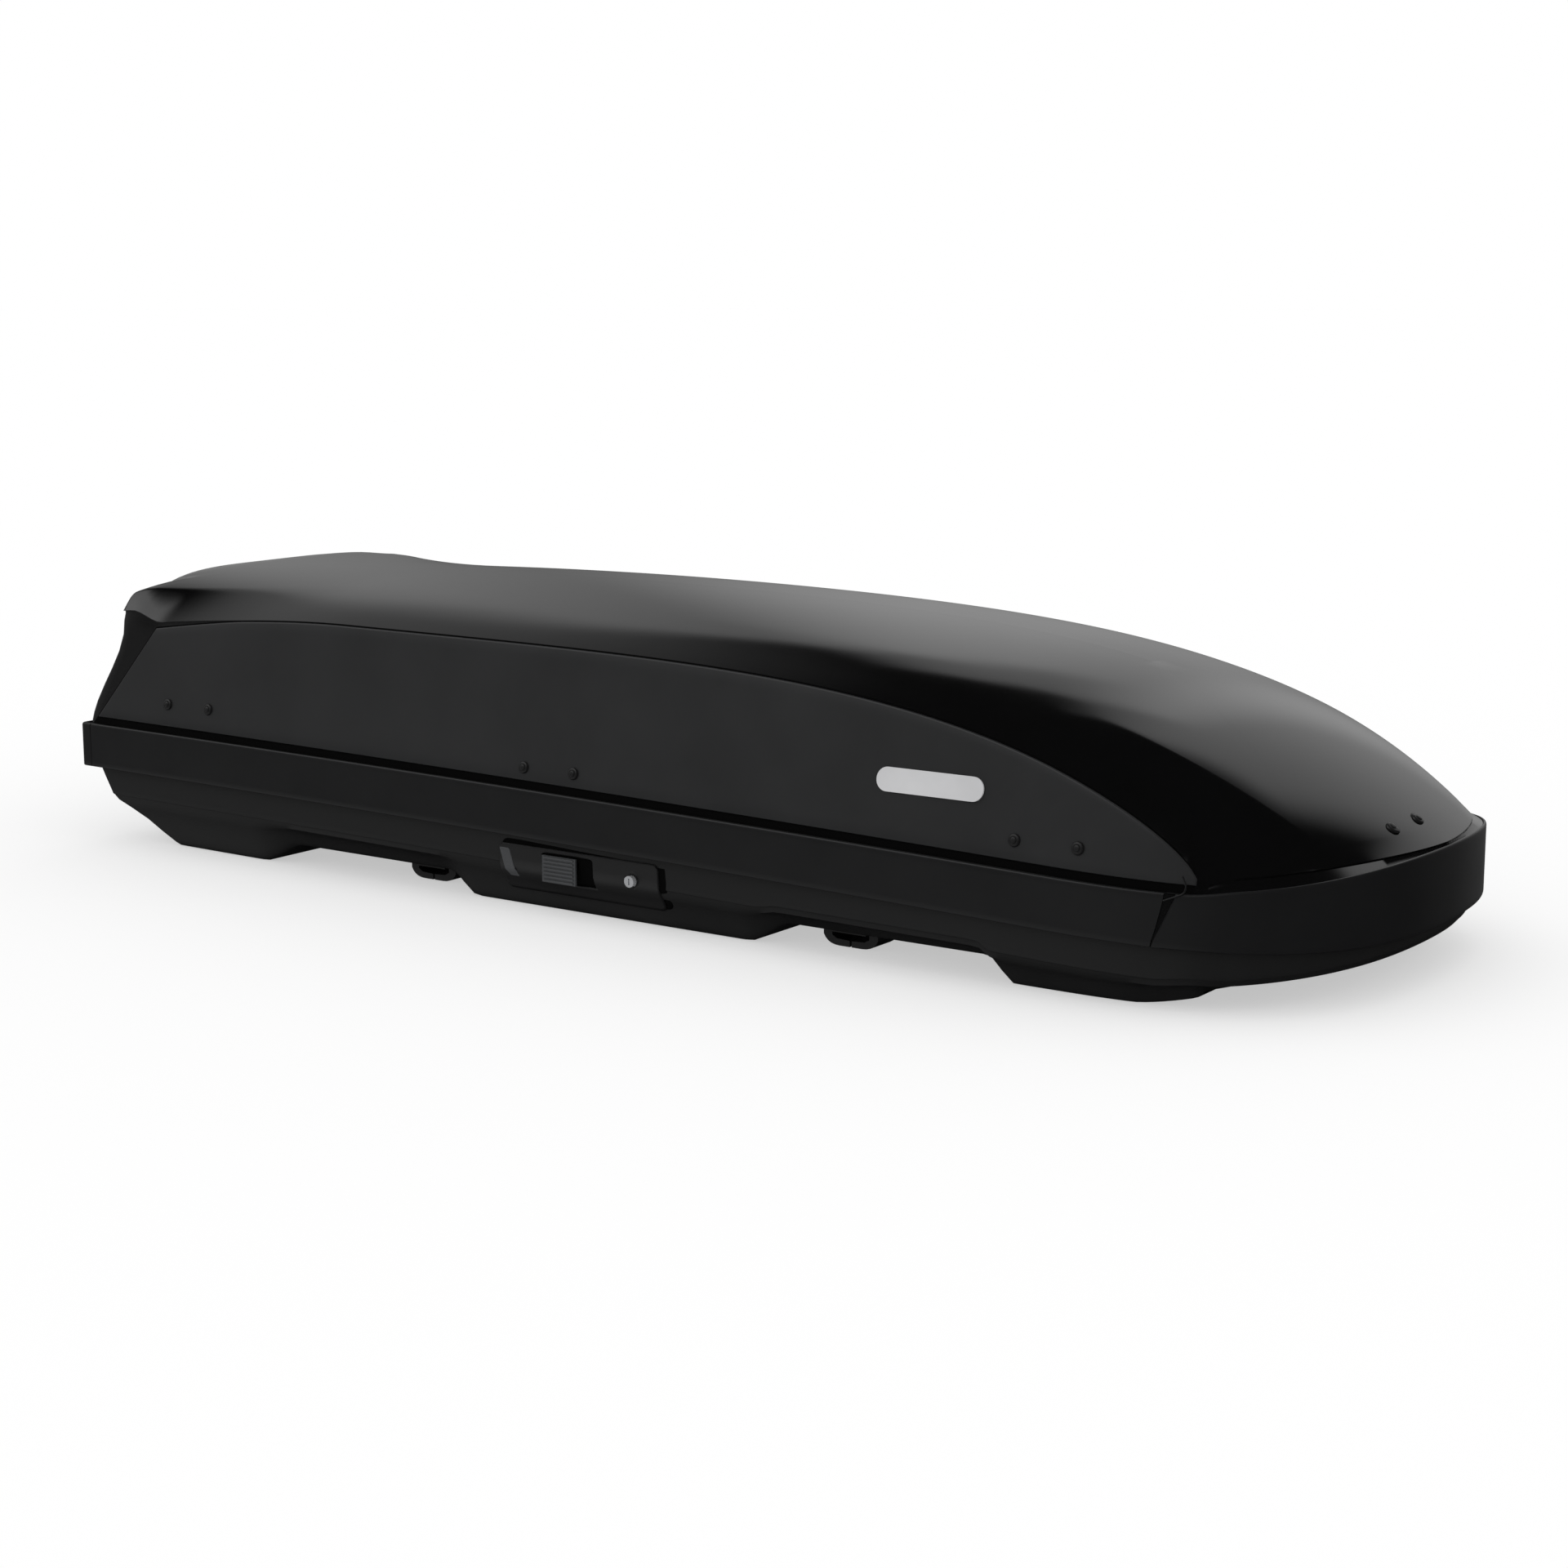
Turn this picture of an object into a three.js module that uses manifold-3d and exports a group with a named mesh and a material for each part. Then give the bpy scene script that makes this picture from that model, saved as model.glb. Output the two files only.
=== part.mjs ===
// Roof cargo box that opens on one long side.
// Millimetres. +X points to the nose, +Z up, and the opening side is -Y.
// z = 0 is the plane of the three deep feet under the tub; x = 0 is the middle of the length.
import * as THREE from 'three'
import { mergeVertices } from 'three/addons/utils/BufferGeometryUtils.js'
import Module from 'manifold-3d'

const wasm = await Module()
wasm.setup()

// ---------------------------------------------------------------- driving dimensions
const REAR_X = -1000
const NOSE_X = 1000
const HALF_WIDTH = 364.7
const SIDE_BOW = 0.0185
const REAR_CORNER_R = 8
const BROW_Z = 345.5
const NOSE_START_X = 653
const NOSE_SIDE_PULL = 300
const NOSE_TIP_PULL = 189
const REAR_BLEND_X = -700

const SKIRT_HEIGHT = 62.5
const TRIM_THICKNESS = 2.5
const LID_THICKNESS = 3.5
const PANEL_THICKNESS = 2.8
const GAP = 0.3
const PANEL_INSET = 8
const SIDE_LEAN = Math.tan(THREE.MathUtils.degToRad(11))
const LID_WALL_INSET = PANEL_INSET + PANEL_THICKNESS + 0.7
const PANEL_REAR_X = -975
const PANEL_TIP_X = 826
const PANEL_FOOT_RISE = 11.5
const TRIM_JOINT_X = 800
const TRIM_REAR_X = -978

const TUB_THICKNESS = 4
const TUB_RIM_DROP = 14
const STRIP_HEIGHT = 42
const CHANNEL_DEPTH = 31
const REAR_CHANNEL = [-675, -594, -310, -262]
const FRONT_CHANNEL = [190, 262, 548, 584]
const NOSE_LIFT_X = 740
const TUB_SPINE_FRONT_X = 860

const HINGE_Y = 329
const HINGE_Z = 78
const STATIONS = [
  { name: 'rear', x: -783, rivetRise: 43 },
  { name: 'middle', x: -102, rivetRise: 29 },
  { name: 'front', x: 644, rivetRise: 36 },
]
const RIVET_SPACING = 84
const RIVET_R = 4
const RIVET_HEAD_R = 7.5
const PLATE_GAP = 2

const CLAMP_XS = [-378, 323]
const CLAMP_Y = 250
const CLAMP_REACH = 41
const PAD_LOW_Z = 21
const PAD_THICKNESS = 9.5
const CLAW_LOW_Z = 2
const CLAW_INSIDE = 28
const CLAW_HALF_GAP = 1.5
const CLAMP_STEM_R = 7
const RAIL_X = [-600, 556]

const SLIDER_X = -82
const SLIDER_SIZE = { length: 56, height: 36, depth: 4.6 }
const SLIDER_TRAVEL = 22
const LOCK_X = 36
const LOCK_R = 7.6
const LATCH_Z = 66
const LATCH_FACE_INSET = 6.5
const LOCK_BAR_Y = -326
const LOCK_BAR_Z = 112
const BADGE_X = 480
const BADGE_RISE = 84

// ---------------------------------------------------------------- small helpers
const clamp01 = (value) => Math.min(1, Math.max(0, value))
const lerp = (a, b, t) => a + (b - a) * t
const smooth = (value) => clamp01(value) ** 2 * (3 - 2 * clamp01(value))
const point = (x, y, z) => new THREE.Vector3(x, y, z)

function weld(geometry) {
  const bare = geometry.clone()
  bare.deleteAttribute('normal')
  bare.deleteAttribute('uv')
  return mergeVertices(bare, 1e-4)
}

function toSolid(geometry) {
  const welded = weld(geometry)
  return new wasm.Manifold(new wasm.Mesh({
    numProp: 3,
    vertProperties: new Float32Array(welded.attributes.position.array),
    triVerts: new Uint32Array(welded.index.array),
  }))
}

function toGeometry(solid) {
  const mesh = solid.getMesh()
  const geometry = new THREE.BufferGeometry()
  geometry.setAttribute('position', new THREE.BufferAttribute(new Float32Array(mesh.vertProperties), 3))
  geometry.setIndex(new THREE.BufferAttribute(new Uint32Array(mesh.triVerts), 1))
  geometry.computeVertexNormals()
  return geometry
}

const join = (...parts) => toGeometry(parts.map(toSolid).reduce((a, b) => a.add(b)))
const cut = (body, ...tools) => toGeometry(tools.map(toSolid).reduce((a, b) => a.subtract(b), toSolid(body)))
const moved = (geometry, x, y, z) => geometry.clone().translate(x, y, z)
const box = (lengthX, lengthY, lengthZ) => new THREE.BoxGeometry(lengthX, lengthY, lengthZ)

// A round bar along Z, of a number of flat sides.
function bar(radius, length, sides = 12) {
  return new THREE.CylinderGeometry(radius, radius, length, sides).rotateX(Math.PI / 2)
}

// A plate of an outline in the YZ plane, centred on x = 0.
function plateAcross(outline, width) {
  const shape = new THREE.Shape(outline.map(([y, z]) => new THREE.Vector2(y, z)))
  const geometry = new THREE.ExtrudeGeometry(shape, { depth: width, bevelEnabled: false, curveSegments: 4 })
  return geometry.applyMatrix4(new THREE.Matrix4().makeBasis(
    point(0, 1, 0), point(0, 0, 1), point(1, 0, 0))).translate(-width / 2, 0, 0)
}

// Closed skin from rows of points: each outer row faces out, its inner twin lies behind it.
function skin(outer, inner, closedColumns) {
  const positions = []
  const triangle = (a, b, c) => {
    if (a.distanceToSquared(b) < 1e-6 || b.distanceToSquared(c) < 1e-6 || c.distanceToSquared(a) < 1e-6) return
    for (const p of [a, b, c]) positions.push(p.x, p.y, p.z)
  }
  const quad = (a, b, c, d) => {
    triangle(a, b, c)
    triangle(a, c, d)
  }
  const rows = outer.length
  const columns = outer[0].length
  const steps = closedColumns ? columns : columns - 1
  for (let c = 0; c < steps; c++) {
    const n = (c + 1) % columns
    for (let r = 0; r < rows - 1; r++) {
      quad(outer[r][c], outer[r][n], outer[r + 1][n], outer[r + 1][c])
      quad(inner[r][n], inner[r][c], inner[r + 1][c], inner[r + 1][n])
    }
    quad(inner[0][c], inner[0][n], outer[0][n], outer[0][c])
    if (!closedColumns) quad(outer[rows - 1][c], outer[rows - 1][n], inner[rows - 1][n], inner[rows - 1][c])
  }
  if (!closedColumns) {
    for (let r = 0; r < rows - 1; r++) {
      quad(inner[r][0], outer[r][0], outer[r + 1][0], inner[r + 1][0])
      quad(outer[r][steps], inner[r][steps], inner[r + 1][steps], outer[r + 1][steps])
    }
  }
  const geometry = new THREE.BufferGeometry()
  geometry.setAttribute('position', new THREE.Float32BufferAttribute(positions, 3))
  geometry.computeVertexNormals()
  return geometry
}

const turnOver = (rows) => rows.map((row) => [...row].reverse())

// ---------------------------------------------------------------- the form of the box
const halfWidth = (x) => HALF_WIDTH * (1 - SIDE_BOW * (x / 1000) ** 2)
const rimZ = (x) => 165.6 - 0.0208 * x - 0.0083 * x * x / 1000
const skirtZ = (x) => rimZ(x) - SKIRT_HEIGHT
const noseWeight = (x) => smooth((x - 805) / 70)
const rearWeight = (x) => clamp01((REAR_BLEND_X - x) / (REAR_BLEND_X - REAR_X))
const noseSpread = (y) => Math.min(1, Math.abs(y) / 345)

// Top of the rim band: it follows the rim and climbs towards the middle of the nose.
function bandTopZ(p) {
  return rimZ(p.x) + noseWeight(p.x) * 29 * (1 - noseSpread(p.y) ** 2.6)
}

// Foot of the lid's wall, inside the groove of the sides or the ledge of the nose.
function footZ(p) {
  const ledge = 12 - 8 * (1 - noseSpread(p.y) ** 2) ** 2
  return bandTopZ(p) + ledge * noseWeight(p.x)
}

// How much the lid has turned boxy towards the rear.
const boxiness = (x) => clamp01((-600 - x) / 350) ** 2

// The shoulder crease: half spacing and height along the length.
const creaseLine = (x) => 218 + 0.0105 * x - 0.0004926 * Math.max(0, x - 700) ** 2
const creaseHalf = (x) => creaseLine(x) + 95 * boxiness(x)
function creaseZ(x) {
  const d = (x + 250) / 1000
  const fall = d > 0 ? 45.6 * d ** 2 + 63.2 * d ** 4.922 : 44.9 * d ** 2
  return 389.5 - fall + 12 * boxiness(x)
}

function crownZ(x, y) {
  const across = 1 - (y / creaseHalf(x)) ** 2
  const rise = 0.0004311 * creaseLine(x) ** 2 * (1 + 0.28 * boxiness(x))
  return creaseZ(x - 29.4 * across) + rise * across
}

// Arched top edge of the side panel.
function panelTopZ(x) {
  const front = clamp01((x + 500) / 1328.4)
  const rear = Math.max(0, (-500 - x) / 650)
  return 155 + 201 * (1 - front ** 4.033) ** (1 / 1.4446) - 69.6 * rear ** 1.743
}

// Share of the way to a rear corner, rising late.
const cornerShare = (y) => Math.min(1, Math.abs(y) / 316) ** 6

// How far the rear wall stands in at a height above its foot: hollow at the waist,
// rounded in plan at the corners.
function rearLean(h, y) {
  const atCorner = 8 + 48 * smooth(h / 140) - 6 * smooth((h - 145) / 25)
  return atCorner - 38 * smooth(h / 150) * (1 - cornerShare(y))
}

// How far the slanted rear edge of the side panel stands in.
const panelLean = (h) => 3.6 + 0.825 * (h - PANEL_FOOT_RISE)

function noseCurve() {
  const slope = 2 * HALF_WIDTH * SIDE_BOW * NOSE_START_X / 1e6
  const start = new THREE.Vector2(NOSE_START_X, -halfWidth(NOSE_START_X))
  const pull = new THREE.Vector2(1, slope).normalize().multiplyScalar(NOSE_SIDE_PULL)
  return new THREE.CubicBezierCurve(
    start, start.clone().add(pull),
    new THREE.Vector2(NOSE_X, -NOSE_TIP_PULL), new THREE.Vector2(NOSE_X, 0))
}

// Half width of the true outline, also along the rounded sides of the nose.
function outlineHalf(x) {
  if (x < NOSE_START_X) return halfWidth(x)
  const nose = noseCurve()
  let low = 0
  let high = 1
  for (let i = 0; i < 30; i++) {
    const middle = (low + high) / 2
    if (nose.getPoint(middle).x < x) low = middle
    else high = middle
  }
  return -nose.getPoint(low).y
}

// Half outline of the rim on the -Y side, from the middle of the rear to the tip of the nose.
function halfOutline() {
  const corner = { x: REAR_X + REAR_CORNER_R }
  corner.y = -(halfWidth(corner.x) - REAR_CORNER_R)
  const points = [0, 0.3, 0.6, 0.85].map((part) => ({ x: REAR_X, y: corner.y * part }))
  for (const angle of [0, 30, 60, 90].map(THREE.MathUtils.degToRad)) {
    points.push({
      x: corner.x - REAR_CORNER_R * Math.cos(angle),
      y: corner.y - REAR_CORNER_R * Math.sin(angle),
    })
  }
  const sideXs = [
    -920, -840, -760, REAR_CHANNEL[0], -634, REAR_CHANNEL[1], -450, REAR_CHANNEL[2], -286, REAR_CHANNEL[3],
    -100, 60, FRONT_CHANNEL[0], 226, FRONT_CHANNEL[1], 400, FRONT_CHANNEL[2], 566, FRONT_CHANNEL[3],
  ]
  for (const x of sideXs) points.push({ x, y: -halfWidth(x) })
  const nose = noseCurve()
  const noseSteps = 11
  for (let i = 0; i <= noseSteps; i++) {
    const p = nose.getPoint(i / noseSteps)
    points.push({ x: p.x, y: i === noseSteps ? 0 : p.y })
  }
  return points
}
const OUTLINE = halfOutline()

// An outline point pushed inwards by its own amount on the sides, the rear and the nose.
function inset(p, side, rear, nose) {
  const weight = noseWeight(p.x)
  const target = { x: 600, y: 0 }
  const reach = Math.hypot(target.x - p.x, p.y)
  const sideY = p.y * (1 - side * (1 - weight) / halfWidth(p.x))
  return {
    x: p.x + rear * rearWeight(p.x) + weight * nose * (target.x - p.x) / reach,
    y: sideY - weight * nose * p.y / reach,
  }
}

// Rows made from one rib per outline point, mirrored to the +Y side.
function loopRows(rib) {
  const ribs = OUTLINE.map(rib)
  const rows = ribs[0].length
  const mirrored = ribs.slice(1, -1).reverse().map((points) => points.map((p) => point(p.x, -p.y, p.z)))
  const loop = [...ribs, ...mirrored]
  return Array.from({ length: rows }, (_, r) => loop.map((points) => points[r]))
}

// ---------------------------------------------------------------- lid shell
const noseLedge = (y) => {
  const spread = noseSpread(y)
  return 3 + 9 * spread + 75 * spread ** 2 * (1 - spread)
}

function wallHeight(p) {
  const foot = footZ(p)
  const side = panelTopZ(p.x + 80 * rearWeight(p.x)) + 2 - foot
  return Math.max(2, side + 20 * smooth((-895 - p.x) / 80))
}

function wallPoint(p, h, depth, baseInset) {
  const side = baseInset + SIDE_LEAN * h + rearWeight(p.x) + depth
  return inset(p, side, rearLean(h, p.y) + depth, noseLedge(p.y) + h * 0.4 + depth)
}

function topZ(x, y, edge) {
  const half = creaseHalf(x)
  let z = crownZ(x, y)
  if (Math.abs(y) > half) {
    const part = clamp01((Math.abs(y) - half) / Math.max(20, Math.abs(edge.y) - half))
    z = lerp(creaseZ(x), edge.z, 0.75 * part + 0.25 * part * part)
  }
  const rearPart = clamp01((x - REAR_X - 12 - 38 * cornerShare(y)) / 30)
  return z > BROW_Z ? BROW_Z + (z - BROW_Z) * Math.sqrt(1 - (1 - rearPart) ** 2) : z
}

function lidRib(p, depth) {
  const lift = depth + TRIM_THICKNESS + GAP
  const skirt = inset(p, lift, lift, lift)
  const height = wallHeight(p)
  const points = [point(skirt.x, skirt.y, skirtZ(p.x)), point(skirt.x, skirt.y, bandTopZ(p) - depth)]
  for (const part of [0, 0.5, 1]) {
    const h = height * part
    const q = wallPoint(p, h, depth, LID_WALL_INSET)
    points.push(point(q.x, q.y, footZ(p) + h - (part === 0.5 ? 0 : depth)))
  }
  const edge = points[points.length - 1].clone()
  edge.z += depth
  const spine = { x: Math.min(600, Math.max(-780, edge.x)), y: 0 }
  const crossing = (Math.abs(edge.y) - creaseHalf(edge.x)) / Math.max(1, Math.abs(edge.y))
  const first = p.x < REAR_X + 5 ? 0.3 : Math.max(0.06, crossing)
  const overEdge = edge.z - topZ(edge.x, edge.y, edge)
  for (const part of [first * 0.4, first, lerp(first, 1, 0.33), lerp(first, 1, 0.67), 1]) {
    const x = lerp(edge.x, spine.x, part)
    const y = part === 1 ? 0 : lerp(edge.y, 0, part)
    const settle = overEdge * (1 - clamp01(part / 0.3)) ** 2
    points.push(point(x, y, topZ(x, y, edge) + settle - depth))
  }
  return points
}

// ---------------------------------------------------------------- tub
// Height of the underside: three feet, two crossbar channels and a lifted nose.
function underZ(x) {
  for (const [start, flat, flatEnd, end] of [REAR_CHANNEL, FRONT_CHANNEL]) {
    if (x > start && x < end) {
      return CHANNEL_DEPTH * smooth((x - start) / (flat - start)) * smooth((end - x) / (end - flatEnd))
    }
  }
  return x > NOSE_LIFT_X ? 62 * ((x - NOSE_LIFT_X) / 230) ** 1.4 : 0
}

function tubRib(p, depth) {
  const rows = []
  const add = (side, rear, nose, z) => {
    const q = inset(p, side + depth, rear + depth, nose + depth)
    rows.push(point(q.x, q.y, typeof z === 'function' ? z(q.x) : z))
  }
  const skirt = skirtZ(p.x)
  const deep = inset(p, 54, 150, 105)
  const floorZ = underZ(deep.x)
  const stripZ = Math.max(skirt - STRIP_HEIGHT, lerp(floorZ, skirt, 0.45))
  add(11, 11, 11, rimZ(p.x) - TUB_RIM_DROP)
  add(12, 24, 13, skirt)
  add(15, 46, 20, stripZ)
  add(21, 54, 30, stripZ - 5)
  add(46, 136, 88, lerp(floorZ, stripZ, 0.15) + depth * 0.5)
  add(54, 150, 105, floorZ + depth)
  const edge = rows[rows.length - 1]
  const spineX = Math.min(TUB_SPINE_FRONT_X, Math.max(-800, edge.x))
  for (const part of [0.5, 1]) {
    const x = lerp(edge.x, spineX, part)
    rows.push(point(x, part === 1 ? 0 : lerp(edge.y, 0, part), underZ(x) + depth))
  }
  return rows
}

// ---------------------------------------------------------------- rim trims and side panels
function trimRib(p, depth) {
  const q = inset(p, depth, depth, depth)
  const lipReach = p.x > TRIM_JOINT_X - 40 ? 0.2 : 5
  const lip = inset(p, TRIM_THICKNESS + lipReach, TRIM_THICKNESS + 1, TRIM_THICKNESS + 0.2)
  return [point(q.x, q.y, skirtZ(p.x) - 0.5), point(q.x, q.y, bandTopZ(p) + GAP + (depth ? 0 : 1.6)),
    point(lip.x, lip.y, bandTopZ(p) + GAP + (depth ? 0 : 1.6))]
}

function trimGeometry(points) {
  const outer = points.map((p) => trimRib(p, 0))
  const inner = points.map((p) => trimRib(p, TRIM_THICKNESS))
  const rows = (ribs) => [0, 1, 2].map((r) => ribs.map((rib) => rib[r]))
  return skin(rows(outer), rows(inner), false)
}

function outlineBetween(startX, endX) {
  const inside = OUTLINE.filter((p) => p.x > startX + 4 && p.x < endX - 4 && p.y < 0)
  const at = (x) => ({ x, y: -outlineHalf(x) })
  return [at(startX), ...inside, at(endX)]
}

const mirrorLoop = (half) => [...half, ...half.slice(0, -1).reverse().map((p) => ({ x: p.x, y: -p.y }))]
const mirrorY = (geometry) => toGeometry(toSolid(geometry).mirror([0, 1, 0]))

function sidePanel() {
  const columns = outlineBetween(PANEL_REAR_X, PANEL_TIP_X)
  const rib = (p, depth) => {
    const foot = rimZ(p.x) + PANEL_FOOT_RISE
    const height = Math.max(2, panelTopZ(p.x + 80 * rearWeight(p.x)) - foot)
    return [0, 0.5, 1].map((part) => {
      const h = height * part + PANEL_FOOT_RISE
      const y = p.y * (1 - (PANEL_INSET + SIDE_LEAN * h + depth) / halfWidth(p.x))
      return point(p.x + panelLean(h) * rearWeight(p.x), y, foot + height * part)
    })
  }
  const rows = (depth) => [0, 1, 2].map((r) => columns.map((p) => rib(p, depth)[r]))
  return skin(rows(0), rows(PANEL_THICKNESS), false)
}

// ---------------------------------------------------------------- places on the side panels
const rivetXs = [-RIVET_SPACING / 2, RIVET_SPACING / 2]

// Outward distance of the right panel's face over a length of one rivet pair.
function panelReach(x, rise) {
  const [behind, ahead] = rivetXs.map((offset) => outlineHalf(x + offset))
  return { y: (behind + ahead) / 2 - PANEL_INSET - SIDE_LEAN * rise, turn: Math.atan((behind - ahead) / RIVET_SPACING) }
}

// Frame on the outer face of the right panel: X along the box, Y up the panel, Z out of it.
function panelFrame(x, rise) {
  const reach = panelReach(x, rise)
  const lean = Math.PI / 2 - Math.atan(SIDE_LEAN)
  const frame = new THREE.Matrix4().makeTranslation(x, -reach.y, rimZ(x) + rise)
  frame.multiply(new THREE.Matrix4().makeRotationZ(reach.turn))
  return frame.multiply(new THREE.Matrix4().makeRotationX(lean))
}

// Geometry built on the right side, brought to its side of the box.
function onPanel(geometry, x, rise, side) {
  const placed = geometry.clone().applyMatrix4(panelFrame(x, rise))
  return side === 'left' ? mirrorY(placed) : placed
}

function rivetHoles(side) {
  return STATIONS.flatMap((station) => rivetXs.map((offset) =>
    onPanel(moved(bar(RIVET_R + 0.7, 16, 8), offset, 0, -5), station.x, station.rivetRise, side)))
}

// Two rivets with the backing plate that they hold against the inside of the lid.
function rivetedPlate(spacing, plate) {
  const head = new THREE.LatheGeometry([
    new THREE.Vector2(0, 0.3), new THREE.Vector2(RIVET_HEAD_R, 0.3),
    new THREE.Vector2(RIVET_HEAD_R * 0.75, 2.4), new THREE.Vector2(0, 3),
  ], 10).rotateX(Math.PI / 2)
  const rivets = [-spacing / 2, spacing / 2].flatMap((offset) => [
    moved(bar(RIVET_R, 3 - plate.z, 8), offset, 0, (plate.z - 1) / 2), moved(head, offset, 0, 0)])
  return join(moved(box(plate.length, plate.height, 3), 0, 0, plate.z - 1.5), ...rivets)
}

function stationPlate() {
  const z = -(LID_WALL_INSET - PANEL_INSET + LID_THICKNESS) - PLATE_GAP
  return rivetedPlate(RIVET_SPACING, { length: RIVET_SPACING + 18, height: 30, z })
}

// Rivet pair through the crown of the lid close to the tip of the nose.
const NOSE_RIVETS = { x: 960, y: -44, spacing: 62 }

// Upright ray on the lid: where it meets the outer skin from above, or the inner skin from below.
function lidHeight(lid, x, y, fromAbove) {
  const target = new THREE.Mesh(lid, new THREE.MeshBasicMaterial({ side: THREE.DoubleSide }))
  const start = point(x, y, fromAbove ? 600 : 180)
  return new THREE.Raycaster(start, point(0, 0, fromAbove ? -1 : 1)).intersectObject(target)[0].point.z
}

// Frame on the crown at the nose rivets: X along the pair, Z out of the lid.
function noseFrame(lid) {
  const { x, y, spacing } = NOSE_RIVETS
  const height = (dx, dy) => lidHeight(lid, x + dx, y + dy, true)
  const alongPair = point(0, spacing, height(0, spacing / 2) - height(0, -spacing / 2)).normalize()
  const alongBox = point(20, 0, height(10, 0) - height(-10, 0)).normalize()
  const out = alongBox.clone().cross(alongPair).normalize()
  const frame = new THREE.Matrix4().makeBasis(alongPair, out.clone().cross(alongPair), out)
  return frame.setPosition(x, y, height(0, 0))
}

function nosePlate(lid) {
  const plate = rivetedPlate(NOSE_RIVETS.spacing, { length: 84, height: 18, z: -LID_THICKNESS - 2.5 })
  return plate.applyMatrix4(noseFrame(lid))
}

function noseHoles(lid) {
  return [-0.5, 0.5].map((part) =>
    moved(bar(RIVET_R + 0.7, 16, 8), part * NOSE_RIVETS.spacing, 0, -2).applyMatrix4(noseFrame(lid)))
}

// ---------------------------------------------------------------- hinges on the +Y side
const HINGE_ARM_WIDTH = 26
function hingeArm(station) {
  const plateZ = rimZ(station.x) + station.rivetRise
  const plateY = panelReach(station.x, station.rivetRise).y - 12
  const outline = [
    [6, -6], [6, 6], [-67, 58], [-3 + plateY - HINGE_Y - 10, plateZ - HINGE_Z - 14],
    [plateY - HINGE_Y, plateZ - HINGE_Z - 12], [plateY - HINGE_Y, plateZ - HINGE_Z + 8],
    [plateY - HINGE_Y - 11, plateZ - HINGE_Z + 6], [-81, 60], [-81, 50], [-6, -6],
  ].map(([y, z]) => [y + HINGE_Y, z + HINGE_Z]).reverse()
  const plate = onPanel(stationPlate(), station.x, station.rivetRise, 'left')
  const eye = moved(bar(8.5, HINGE_ARM_WIDTH, 16).rotateY(Math.PI / 2), station.x, HINGE_Y, HINGE_Z)
  const arm = moved(plateAcross(outline, HINGE_ARM_WIDTH), station.x, 0, 0)
  const hole = moved(bar(4.6, 60, 12).rotateY(Math.PI / 2), station.x, HINGE_Y, HINGE_Z)
  return cut(join(plate, arm, eye), hole)
}

function hingeBracket(station) {
  const width = HINGE_ARM_WIDTH + 14
  const backFace = 9.3
  const wall = halfWidth(station.x) - 19.6 - HINGE_Y
  const back = moved(box(width, wall - backFace, 26), 0, (wall + backFace) / 2, 8)
  const cheek = plateAcross([[-7, -7], [backFace + 1, -5], [backFace + 1, 21], [-7, 8]], 4)
  const reach = width / 2 - 2
  const pin = bar(4, width - 2, 12).rotateY(Math.PI / 2)
  return join(back, moved(cheek, -reach, 0, 0), moved(cheek, reach, 0, 0), pin)
}

// ---------------------------------------------------------------- locking on the -Y side
const TONGUE = { width: 40, thickness: 4, lowZ: 104 }
const tongueY = (station) => 13 - panelReach(station.x, station.rivetRise).y
function lidCatch(station) {
  const plate = onPanel(stationPlate(), station.x, station.rivetRise, 'right')
  const top = rimZ(station.x) + station.rivetRise + 6
  const y = tongueY(station)
  const tongue = moved(box(TONGUE.width, TONGUE.thickness, top - TONGUE.lowZ),
    station.x, y, (top + TONGUE.lowZ) / 2)
  const notch = moved(box(TONGUE.width / 2, 8, 8), station.x + TONGUE.width / 4 + 4, y, TONGUE.lowZ + 11)
  return cut(join(plate, tongue), notch)
}

function latchHook(station) {
  const face = LOCK_BAR_Y - 1.5 - GAP
  const y = tongueY(station)
  const foot = moved(box(26, face - y, 14), 48, (face + y) / 2, LOCK_BAR_Z)
  const nose = moved(box(40, 3, 6), 41, y, LOCK_BAR_Z + 3)
  return join(foot, nose)
}

function lockBar() {
  const start = STATIONS[0].x - 30
  const end = STATIONS[2].x + 90
  const strip = moved(box(end - start, 3, 16), (start + end) / 2, LOCK_BAR_Y, LOCK_BAR_Z)
  const arm = moved(box(22, 3, 52), SLIDER_X, LOCK_BAR_Y, LOCK_BAR_Z - 24)
  return join(strip, arm)
}

function barGuide(x) {
  const backY = -(halfWidth(x) - 19)
  const reach = LOCK_BAR_Y + 3 - backY
  const back = moved(box(18, 3, 26), 0, backY, LOCK_BAR_Z)
  const shelves = [-1, 1].map((side) =>
    moved(box(18, reach, 3), 0, backY + reach / 2, LOCK_BAR_Z + side * 11.2))
  return join(back, ...shelves)
}

const latchFaceY = -(HALF_WIDTH - LATCH_FACE_INSET)
function latchPlate() {
  const outline = [
    [latchFaceY, 94], [latchFaceY, 40], [latchFaceY + 5, 32], [-331.5, 25], [-344.1, 50], [-350, 56.6],
    [-352.7, 94],
  ]
  const plate = moved(plateAcross([...outline].reverse(), 268), -54, 0, 0)
  const window = moved(box(SLIDER_SIZE.length + SLIDER_TRAVEL + 8, 60, SLIDER_SIZE.height + 4),
    SLIDER_X + SLIDER_TRAVEL / 2, latchFaceY, LATCH_Z)
  const lockHole = moved(bar(LOCK_R + 0.5, 60, 24).rotateX(Math.PI / 2), LOCK_X, latchFaceY, LATCH_Z)
  return cut(plate, window, lockHole)
}

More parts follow.
